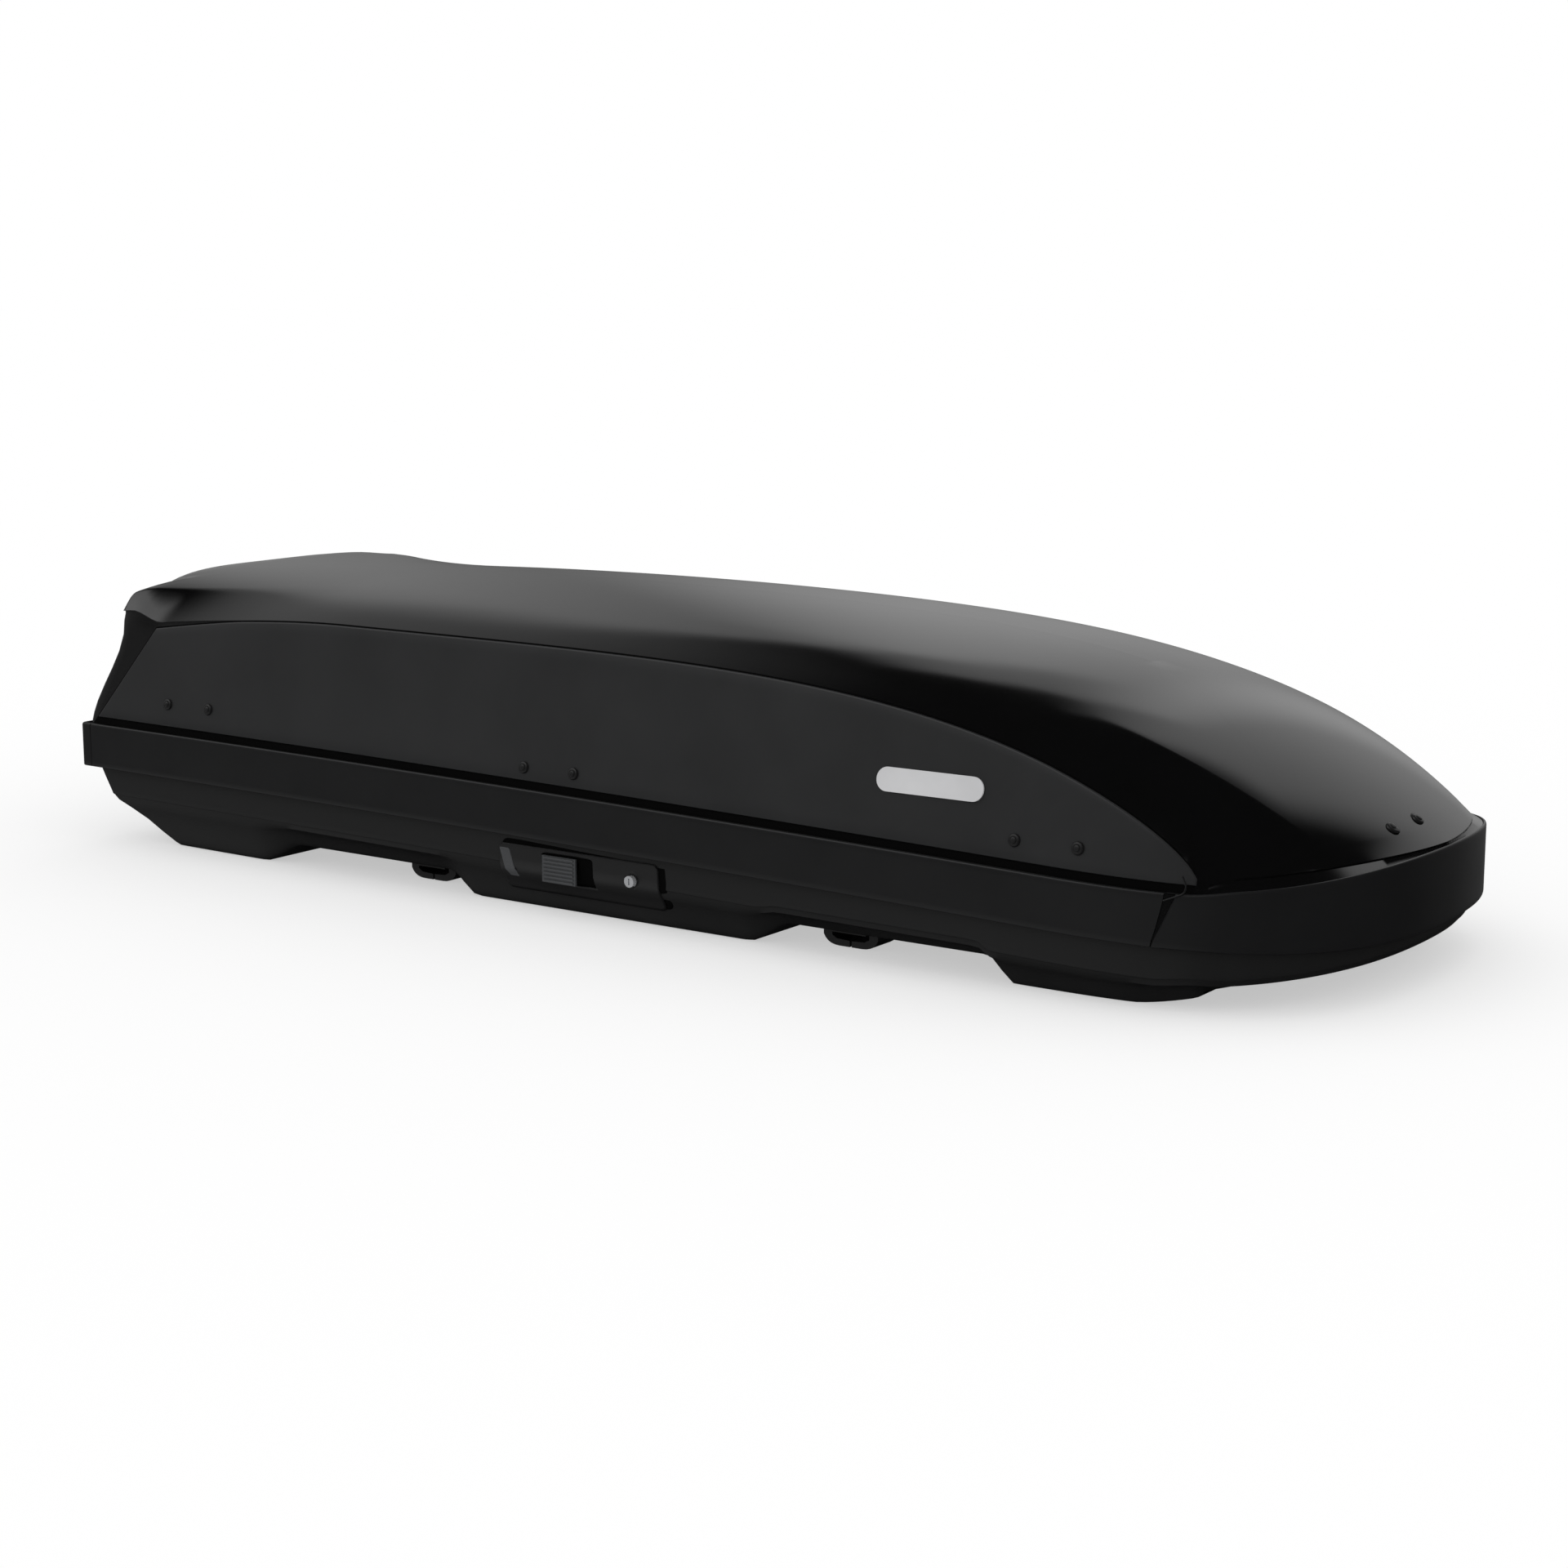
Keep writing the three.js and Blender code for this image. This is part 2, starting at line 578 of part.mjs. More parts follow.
function latchSlider() {
  const { length, height, depth } = SLIDER_SIZE
  const parts = [moved(box(length, depth - 1.6, height), 0, 0.8, 0)]
  const ribs = 7
  for (let i = 0; i < ribs; i++) {
    const z = (i - (ribs - 1) / 2) * height / ribs
    parts.push(moved(box(length - 6, 2.4, height / ribs * 0.5), 0, -depth / 2 + 1.2, z))
  }
  parts.push(moved(box(9, 28, 7), 0, 14.4, 8))
  return join(...parts)
}

function lockCylinder() {
  const barrel = bar(LOCK_R, 26, 24).rotateX(Math.PI / 2).translate(0, 12.4, 0)
  const keyway = moved(box(2, 6, 9), 0, 0, 0)
  return cut(barrel, keyway)
}

function lockCam() {
  return join(moved(box(12, 3, 30), 0, 27.2, 7), bar(6, 3, 12).rotateX(Math.PI / 2).translate(0, 27.2, 0))
}

// ---------------------------------------------------------------- lid stays
const STAY_XS = [-722, 612]
const STAY_BASE = { y: 120, z: 62 }
const STAY_TOP_Y = 270

// Both stay pivots lie on one circle about the lid's hinge, so the stay turns half as fast as the lid.
const pivotRadius = Math.hypot(HINGE_Y - STAY_BASE.y, HINGE_Z - STAY_BASE.z)
const STAY_TOP = { y: STAY_TOP_Y, z: HINGE_Z + Math.sqrt(pivotRadius ** 2 - (HINGE_Y - STAY_TOP_Y) ** 2) }
const STAY_ANGLE = Math.atan2(STAY_TOP.z - STAY_BASE.z, STAY_TOP.y - STAY_BASE.y)
const STAY_LENGTH = Math.hypot(STAY_TOP.z - STAY_BASE.z, STAY_TOP.y - STAY_BASE.y)

// Both stay pieces lie along local +Z from the lower pivot.
function stayTube() {
  const tube = moved(bar(9, 200, 14), 0, 0, 122)
  const bore = moved(bar(5, 200, 12), 0, 0, 130)
  const eye = bar(9, 12, 14).rotateY(Math.PI / 2)
  const neck = moved(box(8, 10, 24), 0, 0, 14)
  const hole = bar(4.5, 20, 12).rotateY(Math.PI / 2)
  return cut(join(tube, eye, neck), bore, hole)
}

function stayRod() {
  const rodFoot = 60
  const rodHead = STAY_LENGTH - 6
  const rod = moved(bar(4.2, rodHead - rodFoot, 12), 0, 0, (rodHead + rodFoot) / 2)
  const eye = moved(bar(9, 12, 14).rotateY(Math.PI / 2), 0, 0, STAY_LENGTH)
  const hole = moved(bar(4.5, 20, 12).rotateY(Math.PI / 2), 0, 0, STAY_LENGTH)
  return cut(join(rod, eye), hole)
}

// Forked bracket around a stay eye, with its foot at local z = drop.
function stayBracket(pinR, drop) {
  const low = Math.min(0, drop)
  const high = Math.max(0, drop)
  const cheek = box(3, 22, high - low + 9)
  const middle = (high + low) / 2 + (drop > 0 ? -4.5 : 4.5)
  const foot = moved(box(46, 34, 3), 0, 0, drop)
  const pin = bar(pinR, 26, 12).rotateY(Math.PI / 2)
  return join(moved(cheek, -10.5, 0, middle), moved(cheek, 10.5, 0, middle), foot, pin)
}

// ---------------------------------------------------------------- crossbar clamps and floor rails
// Curved claw on one side of a clamp, hanging from topZ and reaching under the crossbar to the middle.
function clawOutline(side, topZ) {
  const jaw = new THREE.Shape()
  jaw.moveTo(side * CLAW_INSIDE, topZ)
  jaw.lineTo(side * CLAMP_REACH, topZ)
  jaw.lineTo(side * CLAMP_REACH, CLAW_LOW_Z + 13)
  jaw.quadraticCurveTo(side * (CLAMP_REACH - 6), CLAW_LOW_Z, side * 17, CLAW_LOW_Z)
  jaw.lineTo(side * CLAW_HALF_GAP, CLAW_LOW_Z)
  jaw.lineTo(side * CLAW_HALF_GAP, CLAW_LOW_Z + 8)
  jaw.lineTo(side * 21, CLAW_LOW_Z + 9)
  jaw.lineTo(side * CLAW_INSIDE, CLAW_LOW_Z + 13)
  jaw.closePath()
  return jaw
}

// Claw on one side of the crossbar: +1 is fixed under the pad, -1 moves out when the knob is turned.
function clampClaw(side) {
  const jaw = clawOutline(side, PAD_LOW_Z + PAD_THICKNESS - (side > 0 ? 0 : 0.5))
  return new THREE.ExtrudeGeometry(jaw, { depth: 46, bevelEnabled: false, curveSegments: 5 })
    .rotateX(Math.PI / 2).translate(0, 23, 0)
}

function clampBody() {
  const pad = moved(box(2 * CLAW_INSIDE - 2, 60, PAD_THICKNESS), 0, 0, PAD_LOW_Z + PAD_THICKNESS / 2)
  return cut(pad, moved(bar(CLAMP_STEM_R + 1, 30), 0, 0, PAD_LOW_Z))
}

function clampKnob() {
  const lobes = new THREE.Shape()
  const steps = 24
  for (let i = 0; i < steps; i++) {
    const angle = i / steps * 2 * Math.PI
    const radius = 29 + 2.5 * Math.cos(6 * angle)
    const x = radius * Math.cos(angle)
    const y = radius * Math.sin(angle)
    if (i === 0) lobes.moveTo(x, y)
    else lobes.lineTo(x, y)
  }
  const grip = new THREE.ExtrudeGeometry(lobes, { depth: 20, bevelEnabled: false }).translate(0, 0, 46)
  const skirt = moved(bar(18, 6, 20), 0, 0, 44.6)
  const stem = moved(bar(CLAMP_STEM_R, 20), 0, 0, 37)
  return join(grip, skirt, stem)
}

function floorRail() {
  const length = RAIL_X[1] - RAIL_X[0]
  const strip = box(length, 44, 4)
  const flange = box(length, 3, 8)
  const holes = CLAMP_XS.map((x) => moved(bar(CLAMP_STEM_R + 1, 20), x - (RAIL_X[0] + RAIL_X[1]) / 2, 0, 0))
  return cut(join(strip, moved(flange, 0, -20.5, 2), moved(flange, 0, 20.5, 2)), ...holes)
}

// ---------------------------------------------------------------- seal and badge
function rimSeal() {
  const rib = (depth) => (p) => [0.4, 5].map((rise) => {
    const q = inset(p, 11.3 + depth, 11.3 + depth, 11.3 + depth)
    return point(q.x, q.y, rimZ(p.x) - TUB_RIM_DROP + rise)
  })
  const outer = loopRows(rib(0))
  const inner = loopRows(rib(3.2))
  const topEdge = skin([...outer, inner[1]], [inner[0], inner[0], inner[1]], true)
  return topEdge
}

function badge() {
  const half = { length: 75, height: 15 }
  const pill = new THREE.Shape()
  pill.moveTo(-half.length + half.height, -half.height)
  pill.lineTo(half.length - half.height, -half.height)
  pill.absarc(half.length - half.height, 0, half.height, -Math.PI / 2, Math.PI / 2)
  pill.lineTo(-half.length + half.height, half.height)
  pill.absarc(-half.length + half.height, 0, half.height, Math.PI / 2, Math.PI * 1.5)
  return new THREE.ExtrudeGeometry(pill, { depth: 2, bevelEnabled: false, curveSegments: 8 }).translate(0, 0, 0.5)
}

// ---------------------------------------------------------------- materials and assembly
const finish = {
  lid: () => new THREE.MeshStandardMaterial({ color: 0x0b0b0c, roughness: 0.12, metalness: 0 }),
  panel: () => new THREE.MeshStandardMaterial({ color: 0x17181a, roughness: 0.45, metalness: 0 }),
  trim: () => new THREE.MeshStandardMaterial({ color: 0x111214, roughness: 0.4, metalness: 0 }),
  tub: () => new THREE.MeshStandardMaterial({ color: 0x101112, roughness: 0.7, metalness: 0 }),
  grip: () => new THREE.MeshStandardMaterial({ color: 0x55585c, roughness: 0.5, metalness: 0 }),
  dark: () => new THREE.MeshStandardMaterial({ color: 0x1a1a1b, roughness: 0.6, metalness: 0 }),
  steel: () => new THREE.MeshStandardMaterial({ color: 0x9a9da1, roughness: 0.4, metalness: 1 }),
  bright: () => new THREE.MeshStandardMaterial({ color: 0xd5d7da, roughness: 0.2, metalness: 1 }),
  rubber: () => new THREE.MeshStandardMaterial({ color: 0x0c0c0c, roughness: 0.85, metalness: 0 }),
}

const cargoBox = new THREE.Group()

function addPart(parent, name, geometry, material, position = [0, 0, 0]) {
  const mesh = new THREE.Mesh(geometry, material())
  mesh.name = name
  mesh.position.set(...position)
  parent.add(mesh)
  return mesh
}

const lidShell = skin(loopRows((p) => lidRib(p, 0)), loopRows((p) => lidRib(p, LID_THICKNESS)), true)
const lidHoles = [...rivetHoles('right'), ...rivetHoles('left'), ...noseHoles(lidShell)]
addPart(cargoBox, 'lid_shell', cut(lidShell, ...lidHoles), finish.lid)
addPart(cargoBox, 'nose_plate', nosePlate(lidShell), finish.steel)

const rightPanel = cut(sidePanel(), ...rivetHoles('right'))
addPart(cargoBox, 'side_panel_right', rightPanel, finish.panel)
addPart(cargoBox, 'side_panel_left', mirrorY(rightPanel), finish.panel)

const rightTrim = trimGeometry(outlineBetween(TRIM_REAR_X, TRIM_JOINT_X))
addPart(cargoBox, 'rim_trim_right', rightTrim, finish.trim)
addPart(cargoBox, 'rim_trim_left', mirrorY(rightTrim), finish.trim)
const noseStart = outlineBetween(TRIM_JOINT_X, TRIM_JOINT_X + 4).at(-1)
const noseHalf = [noseStart, ...OUTLINE.filter((p) => p.x > TRIM_JOINT_X + 10)]
addPart(cargoBox, 'nose_trim', trimGeometry(mirrorLoop(noseHalf)), finish.trim)
const rearHalf = OUTLINE.filter((p) => p.x < TRIM_REAR_X - 1)
rearHalf.push({ x: TRIM_REAR_X - 1, y: -halfWidth(TRIM_REAR_X - 1) })
const rearLoop = mirrorLoop([...rearHalf].reverse()).reverse()
addPart(cargoBox, 'rear_trim', trimGeometry(rearLoop), finish.trim)

for (const side of ['right', 'left']) {
  const plate = onPanel(badge(), BADGE_X, BADGE_RISE, side)
  addPart(cargoBox, `badge_${side}`, plate, finish.bright)
}

const tubTools = [
  moved(box(SLIDER_TRAVEL + 14, 20, 10), SLIDER_X + SLIDER_TRAVEL / 2, -350, LATCH_Z + 8),
  moved(bar(LOCK_R + 0.6, 40, 24).rotateX(Math.PI / 2), LOCK_X, -348, LATCH_Z),
]
for (const x of CLAMP_XS) {
  for (const y of [-CLAMP_Y, CLAMP_Y]) tubTools.push(moved(bar(CLAMP_STEM_R + 1, 30), x, y, 32))
}
const tub = skin(turnOver(loopRows((p) => tubRib(p, 0))), turnOver(loopRows((p) => tubRib(p, TUB_THICKNESS))), true)
addPart(cargoBox, 'tub', cut(tub, ...tubTools), finish.tub)
addPart(cargoBox, 'rim_seal', rimSeal(), finish.rubber)

for (const station of STATIONS) {
  addPart(cargoBox, `hinge_arm_${station.name}`, hingeArm(station), finish.steel)
  addPart(cargoBox, `hinge_bracket_${station.name}`, hingeBracket(station), finish.steel, [station.x, HINGE_Y, HINGE_Z])
  addPart(cargoBox, `lid_catch_${station.name}`, lidCatch(station), finish.steel)
  addPart(cargoBox, `latch_hook_${station.name}`, latchHook(station), finish.steel, [station.x, 0, 0])
}

addPart(cargoBox, 'lock_bar', lockBar(), finish.steel)
for (const [name, x] of [['rear', -420], ['front', 300]]) {
  addPart(cargoBox, `lock_bar_guide_${name}`, barGuide(x), finish.dark, [x, 0, 0])
}
addPart(cargoBox, 'latch_plate', latchPlate(), finish.dark)
addPart(cargoBox, 'latch_slider', latchSlider(), finish.grip, [SLIDER_X, latchFaceY + 1.2, LATCH_Z])
addPart(cargoBox, 'lock_cylinder', lockCylinder(), finish.bright, [LOCK_X, latchFaceY - 0.2, LATCH_Z])
addPart(cargoBox, 'lock_cam', lockCam(), finish.steel, [LOCK_X, latchFaceY, LATCH_Z])

// Height and slope of the lid's inner skin above a stay.
function lidUnderside(x, y) {
  const reach = 15
  const [inside, outside] = [y - reach, y + reach].map((place) => lidHeight(lidShell, x, place, false))
  return { z: lidHeight(lidShell, x, y, false), slope: Math.atan((outside - inside) / (2 * reach)) }
}

for (const [index, x] of STAY_XS.entries()) {
  const name = index === 0 ? 'rear' : 'front'
  const stay = new THREE.Group()
  stay.position.set(x, STAY_BASE.y, STAY_BASE.z)
  stay.rotation.x = STAY_ANGLE - Math.PI / 2
  addPart(stay, `stay_tube_${name}`, stayTube(), finish.dark)
  addPart(stay, `stay_rod_${name}`, stayRod(), finish.steel)
  cargoBox.add(stay)
  const floor = underZ(x) + TUB_THICKNESS
  addPart(cargoBox, `stay_foot_${name}`, stayBracket(4, floor + 2.2 - STAY_BASE.z), finish.steel,
    [x, STAY_BASE.y, STAY_BASE.z])
  const underside = lidUnderside(x, STAY_TOP.y)
  const drop = (underside.z - STAY_TOP.z) * Math.cos(underside.slope) - 9
  const head = addPart(cargoBox, `stay_head_${name}`, stayBracket(4, drop), finish.steel,
    [x, STAY_TOP.y, STAY_TOP.z])
  head.rotation.x = underside.slope
}

for (const side of [-1, 1]) {
  const label = side < 0 ? 'right' : 'left'
  const middle = (RAIL_X[0] + RAIL_X[1]) / 2
  const railZ = CHANNEL_DEPTH + TUB_THICKNESS + 2.4
  addPart(cargoBox, `floor_rail_${label}`, floorRail(), finish.steel, [middle, side * CLAMP_Y, railZ])
  for (const [index, x] of CLAMP_XS.entries()) {
    const tag = `${index === 0 ? 'rear' : 'front'}_${label}`
    addPart(cargoBox, `clamp_body_${tag}`, clampBody(), finish.dark, [x, side * CLAMP_Y, 0])
    addPart(cargoBox, `clamp_jaw_${tag}`, clampClaw(1), finish.dark, [x, side * CLAMP_Y, 0])
    addPart(cargoBox, `clamp_claw_${tag}`, clampClaw(-1), finish.dark, [x, side * CLAMP_Y, 0])
    addPart(cargoBox, `clamp_knob_${tag}`, clampKnob(), finish.dark, [x, side * CLAMP_Y, 0])
  }
}

export default cargoBox
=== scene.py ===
import math

import bmesh
import bpy
import numpy as np
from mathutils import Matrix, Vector


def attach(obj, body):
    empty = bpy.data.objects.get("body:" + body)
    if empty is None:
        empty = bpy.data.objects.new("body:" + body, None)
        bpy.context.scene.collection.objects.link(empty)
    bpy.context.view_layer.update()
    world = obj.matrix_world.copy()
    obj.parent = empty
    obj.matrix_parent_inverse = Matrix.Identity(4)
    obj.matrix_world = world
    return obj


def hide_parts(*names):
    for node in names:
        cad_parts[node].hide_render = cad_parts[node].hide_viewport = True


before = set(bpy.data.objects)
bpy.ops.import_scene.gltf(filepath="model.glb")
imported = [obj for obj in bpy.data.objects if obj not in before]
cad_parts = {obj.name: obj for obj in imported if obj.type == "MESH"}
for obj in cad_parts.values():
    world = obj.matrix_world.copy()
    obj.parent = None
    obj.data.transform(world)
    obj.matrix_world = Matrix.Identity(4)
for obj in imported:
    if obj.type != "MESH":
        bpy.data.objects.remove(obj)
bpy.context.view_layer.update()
MM = 0.001

# ------------------------------------------------------------ driving sizes, millimetres
REAR_X = -1000.0
NOSE_X = 1000.0
HALF_WIDTH = 364.66
SIDE_BOW = 0.0185
REAR_CORNER_R = 7.0
BROW_Z = 345.5
CREASE_TOP_Z = 389.3
CROWN_RISE = 0.0004311
CROWN_SWEEP = 29.4
REAR_WIDENING = 95
REAR_LIFT = 12
NOSE_START_X = 653.0
NOSE_SIDE_PULL = 300.0
NOSE_TIP_PULL = 189.0
REAR_BLEND_X = -700.0
SKIRT_HEIGHT = 62.5
TRIM_THICKNESS = 2.5
LID_THICKNESS = 3.5
PANEL_INSET = 8.0
PANEL_THICKNESS = 2.8
PANEL_FOOT_RISE = 11.5
PANEL_REAR_X = -975.0
PANEL_TIP_X = 826.5
LID_WALL_INSET = 11.5
SIDE_LEAN = math.tan(math.radians(11))
TUB_THICKNESS = 4.0
TUB_RIM_DROP = 14.0
STRIP_HEIGHT = 42.0
CHANNEL_DEPTH = 31.0
REAR_CHANNEL = (-675.0, -594.0, -310.0, -262.0)
FRONT_CHANNEL = (190.0, 262.0, 548.0, 584.0)
NOSE_LIFT_X = 740.0
TUB_SPINE_FRONT_X = 860.0
STATIONS = ((-783.0, 43.0), (-102.0, 29.0), (644.0, 36.0))
RIVET_SPACING = 84.0


# ------------------------------------------------------------ the form of the box
def clamp01(value):
    return min(1.0, max(0.0, value))


def lerp(a, b, t):
    return a + (b - a) * t


def smooth(value):
    t = clamp01(value)
    return t * t * (3 - 2 * t)


def smooth_min(a, b, width):
    h = clamp01(0.5 + 0.5 * (b - a) / width)
    return lerp(b, a, h) - width * h * (1 - h)


def half_width(x):
    return HALF_WIDTH * (1 - SIDE_BOW * (x / 1000) ** 2)


def rim_z(x):
    return 165.6 - 0.0208 * x - 0.0083 * x * x / 1000


def skirt_z(x):
    return rim_z(x) - SKIRT_HEIGHT


def nose_weight(x):
    return smooth((x - 805) / 70)


def rear_weight(x):
    return clamp01((REAR_BLEND_X - x) / (REAR_BLEND_X - REAR_X))


def nose_spread(y):
    return min(1.0, abs(y) / 345)


def band_top(p):
    return rim_z(p[0]) + nose_weight(p[0]) * 29 * (1 - nose_spread(p[1]) ** 2.6)


def foot_z(p):
    ledge = 12 - 8 * (1 - nose_spread(p[1]) ** 2) ** 2
    return band_top(p) + ledge * nose_weight(p[0])


def boxiness(x):
    """How much the lid has turned boxy towards the rear."""
    return clamp01((-600 - x) / 350) ** 2


def crease_line(x):
    return 218 + 0.0105 * x - 0.0004926 * max(0.0, x - 700) ** 2


def crease_half(x):
    return crease_line(x) + REAR_WIDENING * boxiness(x)


def crease_z(x):
    d = (x + 250) / 1000
    fall = 45.6 * d ** 2 + 63.2 * d ** 4.922 if d > 0 else 44.9 * d ** 2
    return CREASE_TOP_Z - fall + REAR_LIFT * boxiness(x)


def crown_z(x, y):
    share = (y / crease_half(x)) ** 2
    across = lerp(1 - share, 1 - share ** 2, boxiness(x))
    rise = CROWN_RISE * crease_line(x) ** 2 * (1 + 0.04 * boxiness(x))
    return crease_z(x - CROWN_SWEEP * across) + rise * across


def panel_top(x):
    front = clamp01((x + 500) / 1328.4)
    rear = max(0.0, (-500 - x) / 650)
    return 155 + 201 * (1 - front ** 4.033) ** (1 / 1.4446) - 69.6 * rear ** 1.743


def corner_share(y):
    """Share of the way to a rear corner, rising late."""
    return min(1.0, abs(y) / 316) ** 6


def rear_lean(h, y):
    """How far the rear wall stands in: hollow at the waist, rounded in plan at the corners."""
    at_corner = 8 + 48 * smooth(h / 140) - 6 * smooth((h - 145) / 25)
    return at_corner - 38 * smooth(h / 150) * (1 - corner_share(y))


def panel_lean(h):
    """How far the slanted rear edge of the side panel stands in."""
    return 3.6 + 0.825 * (h - PANEL_FOOT_RISE)


def nose_points(count):
    """Bezier from the start of the nose on the near side to its tip."""
    slope = 2 * HALF_WIDTH * SIDE_BOW * NOSE_START_X / 1e6
    run = np.array([1.0, slope]) / math.hypot(1, slope)
    start = np.array([NOSE_START_X, -half_width(NOSE_START_X)])
    first = start + run * NOSE_SIDE_PULL
    second = np.array([NOSE_X, -NOSE_TIP_PULL])
    end = np.array([NOSE_X, 0.0])
    points = []
    for t in np.linspace(0, 1, count):
        points.append((1 - t) ** 3 * start + 3 * t * (1 - t) ** 2 * first
                      + 3 * t * t * (1 - t) * second + t ** 3 * end)
    return np.array(points)


NOSE = nose_points(240)


def outline_half(x):
    if x < NOSE_START_X:
        return half_width(x)
    return -float(np.interp(x, NOSE[:, 0], NOSE[:, 1]))


def half_outline(side_step=14.0, nose_count=64):
    """Rim points on the near side, from the middle of the rear to the tip of the nose."""
    corner_x = REAR_X + REAR_CORNER_R
    corner_y = -(half_width(corner_x) - REAR_CORNER_R)
    points = [(REAR_X, corner_y * part) for part in np.linspace(0, 1, 18)[:-1]]
    for angle in np.radians(np.linspace(0, 90, 10)):
        points.append((corner_x - REAR_CORNER_R * math.cos(angle),
                       corner_y - REAR_CORNER_R * math.sin(angle)))
    side_count = int((NOSE_START_X - corner_x) / side_step)
    for x in np.linspace(corner_x, NOSE_START_X, side_count)[1:-1]:
        points.append((x, -half_width(x)))
    points += [tuple(p) for p in nose_points(nose_count)]
    return points


OUTLINE = half_outline()


def inset(p, side, rear, nose):
    weight = nose_weight(p[0])
    reach = math.hypot(600 - p[0], p[1])
    y = p[1] * (1 - side * (1 - weight) / half_width(p[0]))
    return (p[0] + rear * rear_weight(p[0]) + weight * nose * (600 - p[0]) / reach,
            y - weight * nose * p[1] / reach)


# ------------------------------------------------------------ mesh building
def build(name, verts, faces, sharp_deg=38.0):
    mesh = bpy.data.meshes.new(name)
    mesh.from_pydata([tuple(v * MM for v in vert) for vert in verts], [], faces)
    mesh.update()
    mesh.validate()
    mesh.polygons.foreach_set("use_smooth", [True] * len(mesh.polygons))
    mesh.set_sharp_from_angle(angle=math.radians(sharp_deg))
    piece = bpy.data.objects.new(name, mesh)
    bpy.context.scene.collection.objects.link(piece)
    return piece


def grid_faces(rows, columns, closed, start=0, flip=False):
    faces = []
    steps = columns if closed else columns - 1
    for r in range(rows - 1):
        for c in range(steps):
            n = (c + 1) % columns
            quad = (start + r * columns + c, start + r * columns + n,
                    start + (r + 1) * columns + n, start + (r + 1) * columns + c)
            faces.append(quad[::-1] if flip else quad)
    return faces


def sweep(name, profiles, closed, sharp_deg=38.0):
    """A closed profile carried along columns: profiles[column][row] are points."""
    columns = len(profiles)
    rows = len(profiles[0])
    verts = [profiles[c][r] for r in range(rows) for c in range(columns)]
    faces = grid_faces(rows, columns, closed)
    steps = columns if closed else columns - 1
    last = (rows - 1) * columns
    for c in range(steps):
        n = (c + 1) % columns
        faces.append((last + c, last + n, n, c))
    if not closed:
        faces.append(tuple(r * columns for r in range(rows)))
        faces.append(tuple(r * columns + columns - 1 for r in reversed(range(rows))))
    return build(name, verts, faces, sharp_deg)


def plate(name, outer, inner, sharp_deg=38.0):
    """A sheet between two grids of points, closed all round."""
    rows, columns = len(outer), len(outer[0])
    verts = [p for row in outer for p in row] + [p for row in inner for p in row]
    half = rows * columns
    faces = grid_faces(rows, columns, False)
    faces += grid_faces(rows, columns, False, half, True)
    border = [c for c in range(columns)]
    border += [r * columns + columns - 1 for r in range(1, rows)]
    border += [(rows - 1) * columns + c for c in reversed(range(columns - 1))]
    border += [r * columns for r in reversed(range(1, rows - 1))]
    for i, a in enumerate(border):
        b = border[(i + 1) % len(border)]
        faces.append((b, a, half + a, half + b))
    return build(name, verts, faces, sharp_deg)


def mirrored_points(points):
    return [tuple((p[0], -p[1]) + tuple(p[2:])) for p in points]


def loop_of(rib, points=None):
    """Ribs all round the rim: the near half, then its mirror image."""
    ribs = [rib(p) for p in (points or OUTLINE)]
    far = [mirrored_points(r) for r in ribs[1:-1]][::-1]
    return ribs + far


def mirror_copy(piece, name):
    """The same piece on the far side."""
    mesh = piece.data.copy()
    mesh.name = name
    for vert in mesh.vertices:
        vert.co.y = -vert.co.y
    mesh.flip_normals()
    twin = bpy.data.objects.new(name, mesh)
    bpy.context.scene.collection.objects.link(twin)
    return twin


# ------------------------------------------------------------ lid shell
def nose_ledge(y):
    spread = nose_spread(y)
    return 3 + 9 * spread + 75 * spread ** 2 * (1 - spread)


def wall_height(p):
    foot = foot_z(p)
    side = panel_top(p[0] + 80 * rear_weight(p[0])) + 2 - foot
    return max(2.0, side + 20 * smooth((-895 - p[0]) / 80))


def wall_point(p, h, depth):
    return inset(p, LID_WALL_INSET + SIDE_LEAN * h + rear_weight(p[0]) + depth, rear_lean(h, p[1]) + depth,
                 nose_ledge(p[1]) + h * 0.4 + depth)


CREASE_FILLET = 1.6


def top_z(x, y, edge):
    half = crease_half(x)
    z = crown_z(x, y)
    part = (abs(y) - half) / max(20.0, abs(edge[1]) - half)
    if part > -0.6 and abs(edge[1]) > half + 2:
        inner = clamp01(part)
        shoulder = lerp(crease_z(x), edge[2], 0.75 * inner + 0.25 * inner * inner)
        if part < 0:
            shoulder = crease_z(x) - 0.75 * part * (crease_z(x) - edge[2])
        z = shoulder if part > 0.6 else smooth_min(z, shoulder, CREASE_FILLET)
    rear_part = clamp01((x - REAR_X - 12 - 38 * corner_share(y)) / 30)
    if z > BROW_Z:
        z = BROW_Z + (z - BROW_Z) * math.sqrt(1 - (1 - rear_part) ** 2)
    return z


def crossing_part(edge, spine):
    """How far along the line from edge to spine the shoulder crease lies."""
    def beyond(t):
        x = lerp(edge[0], spine[0], t)
        return abs(lerp(edge[1], spine[1], t)) - crease_half(x)
    if beyond(0) <= 0:
        return 0.0
    low, high = 0.0, 1.0
    for _ in range(24):
        middle = (low + high) / 2
        if beyond(middle) > 0:
            low = middle
        else:
            high = middle
    return low


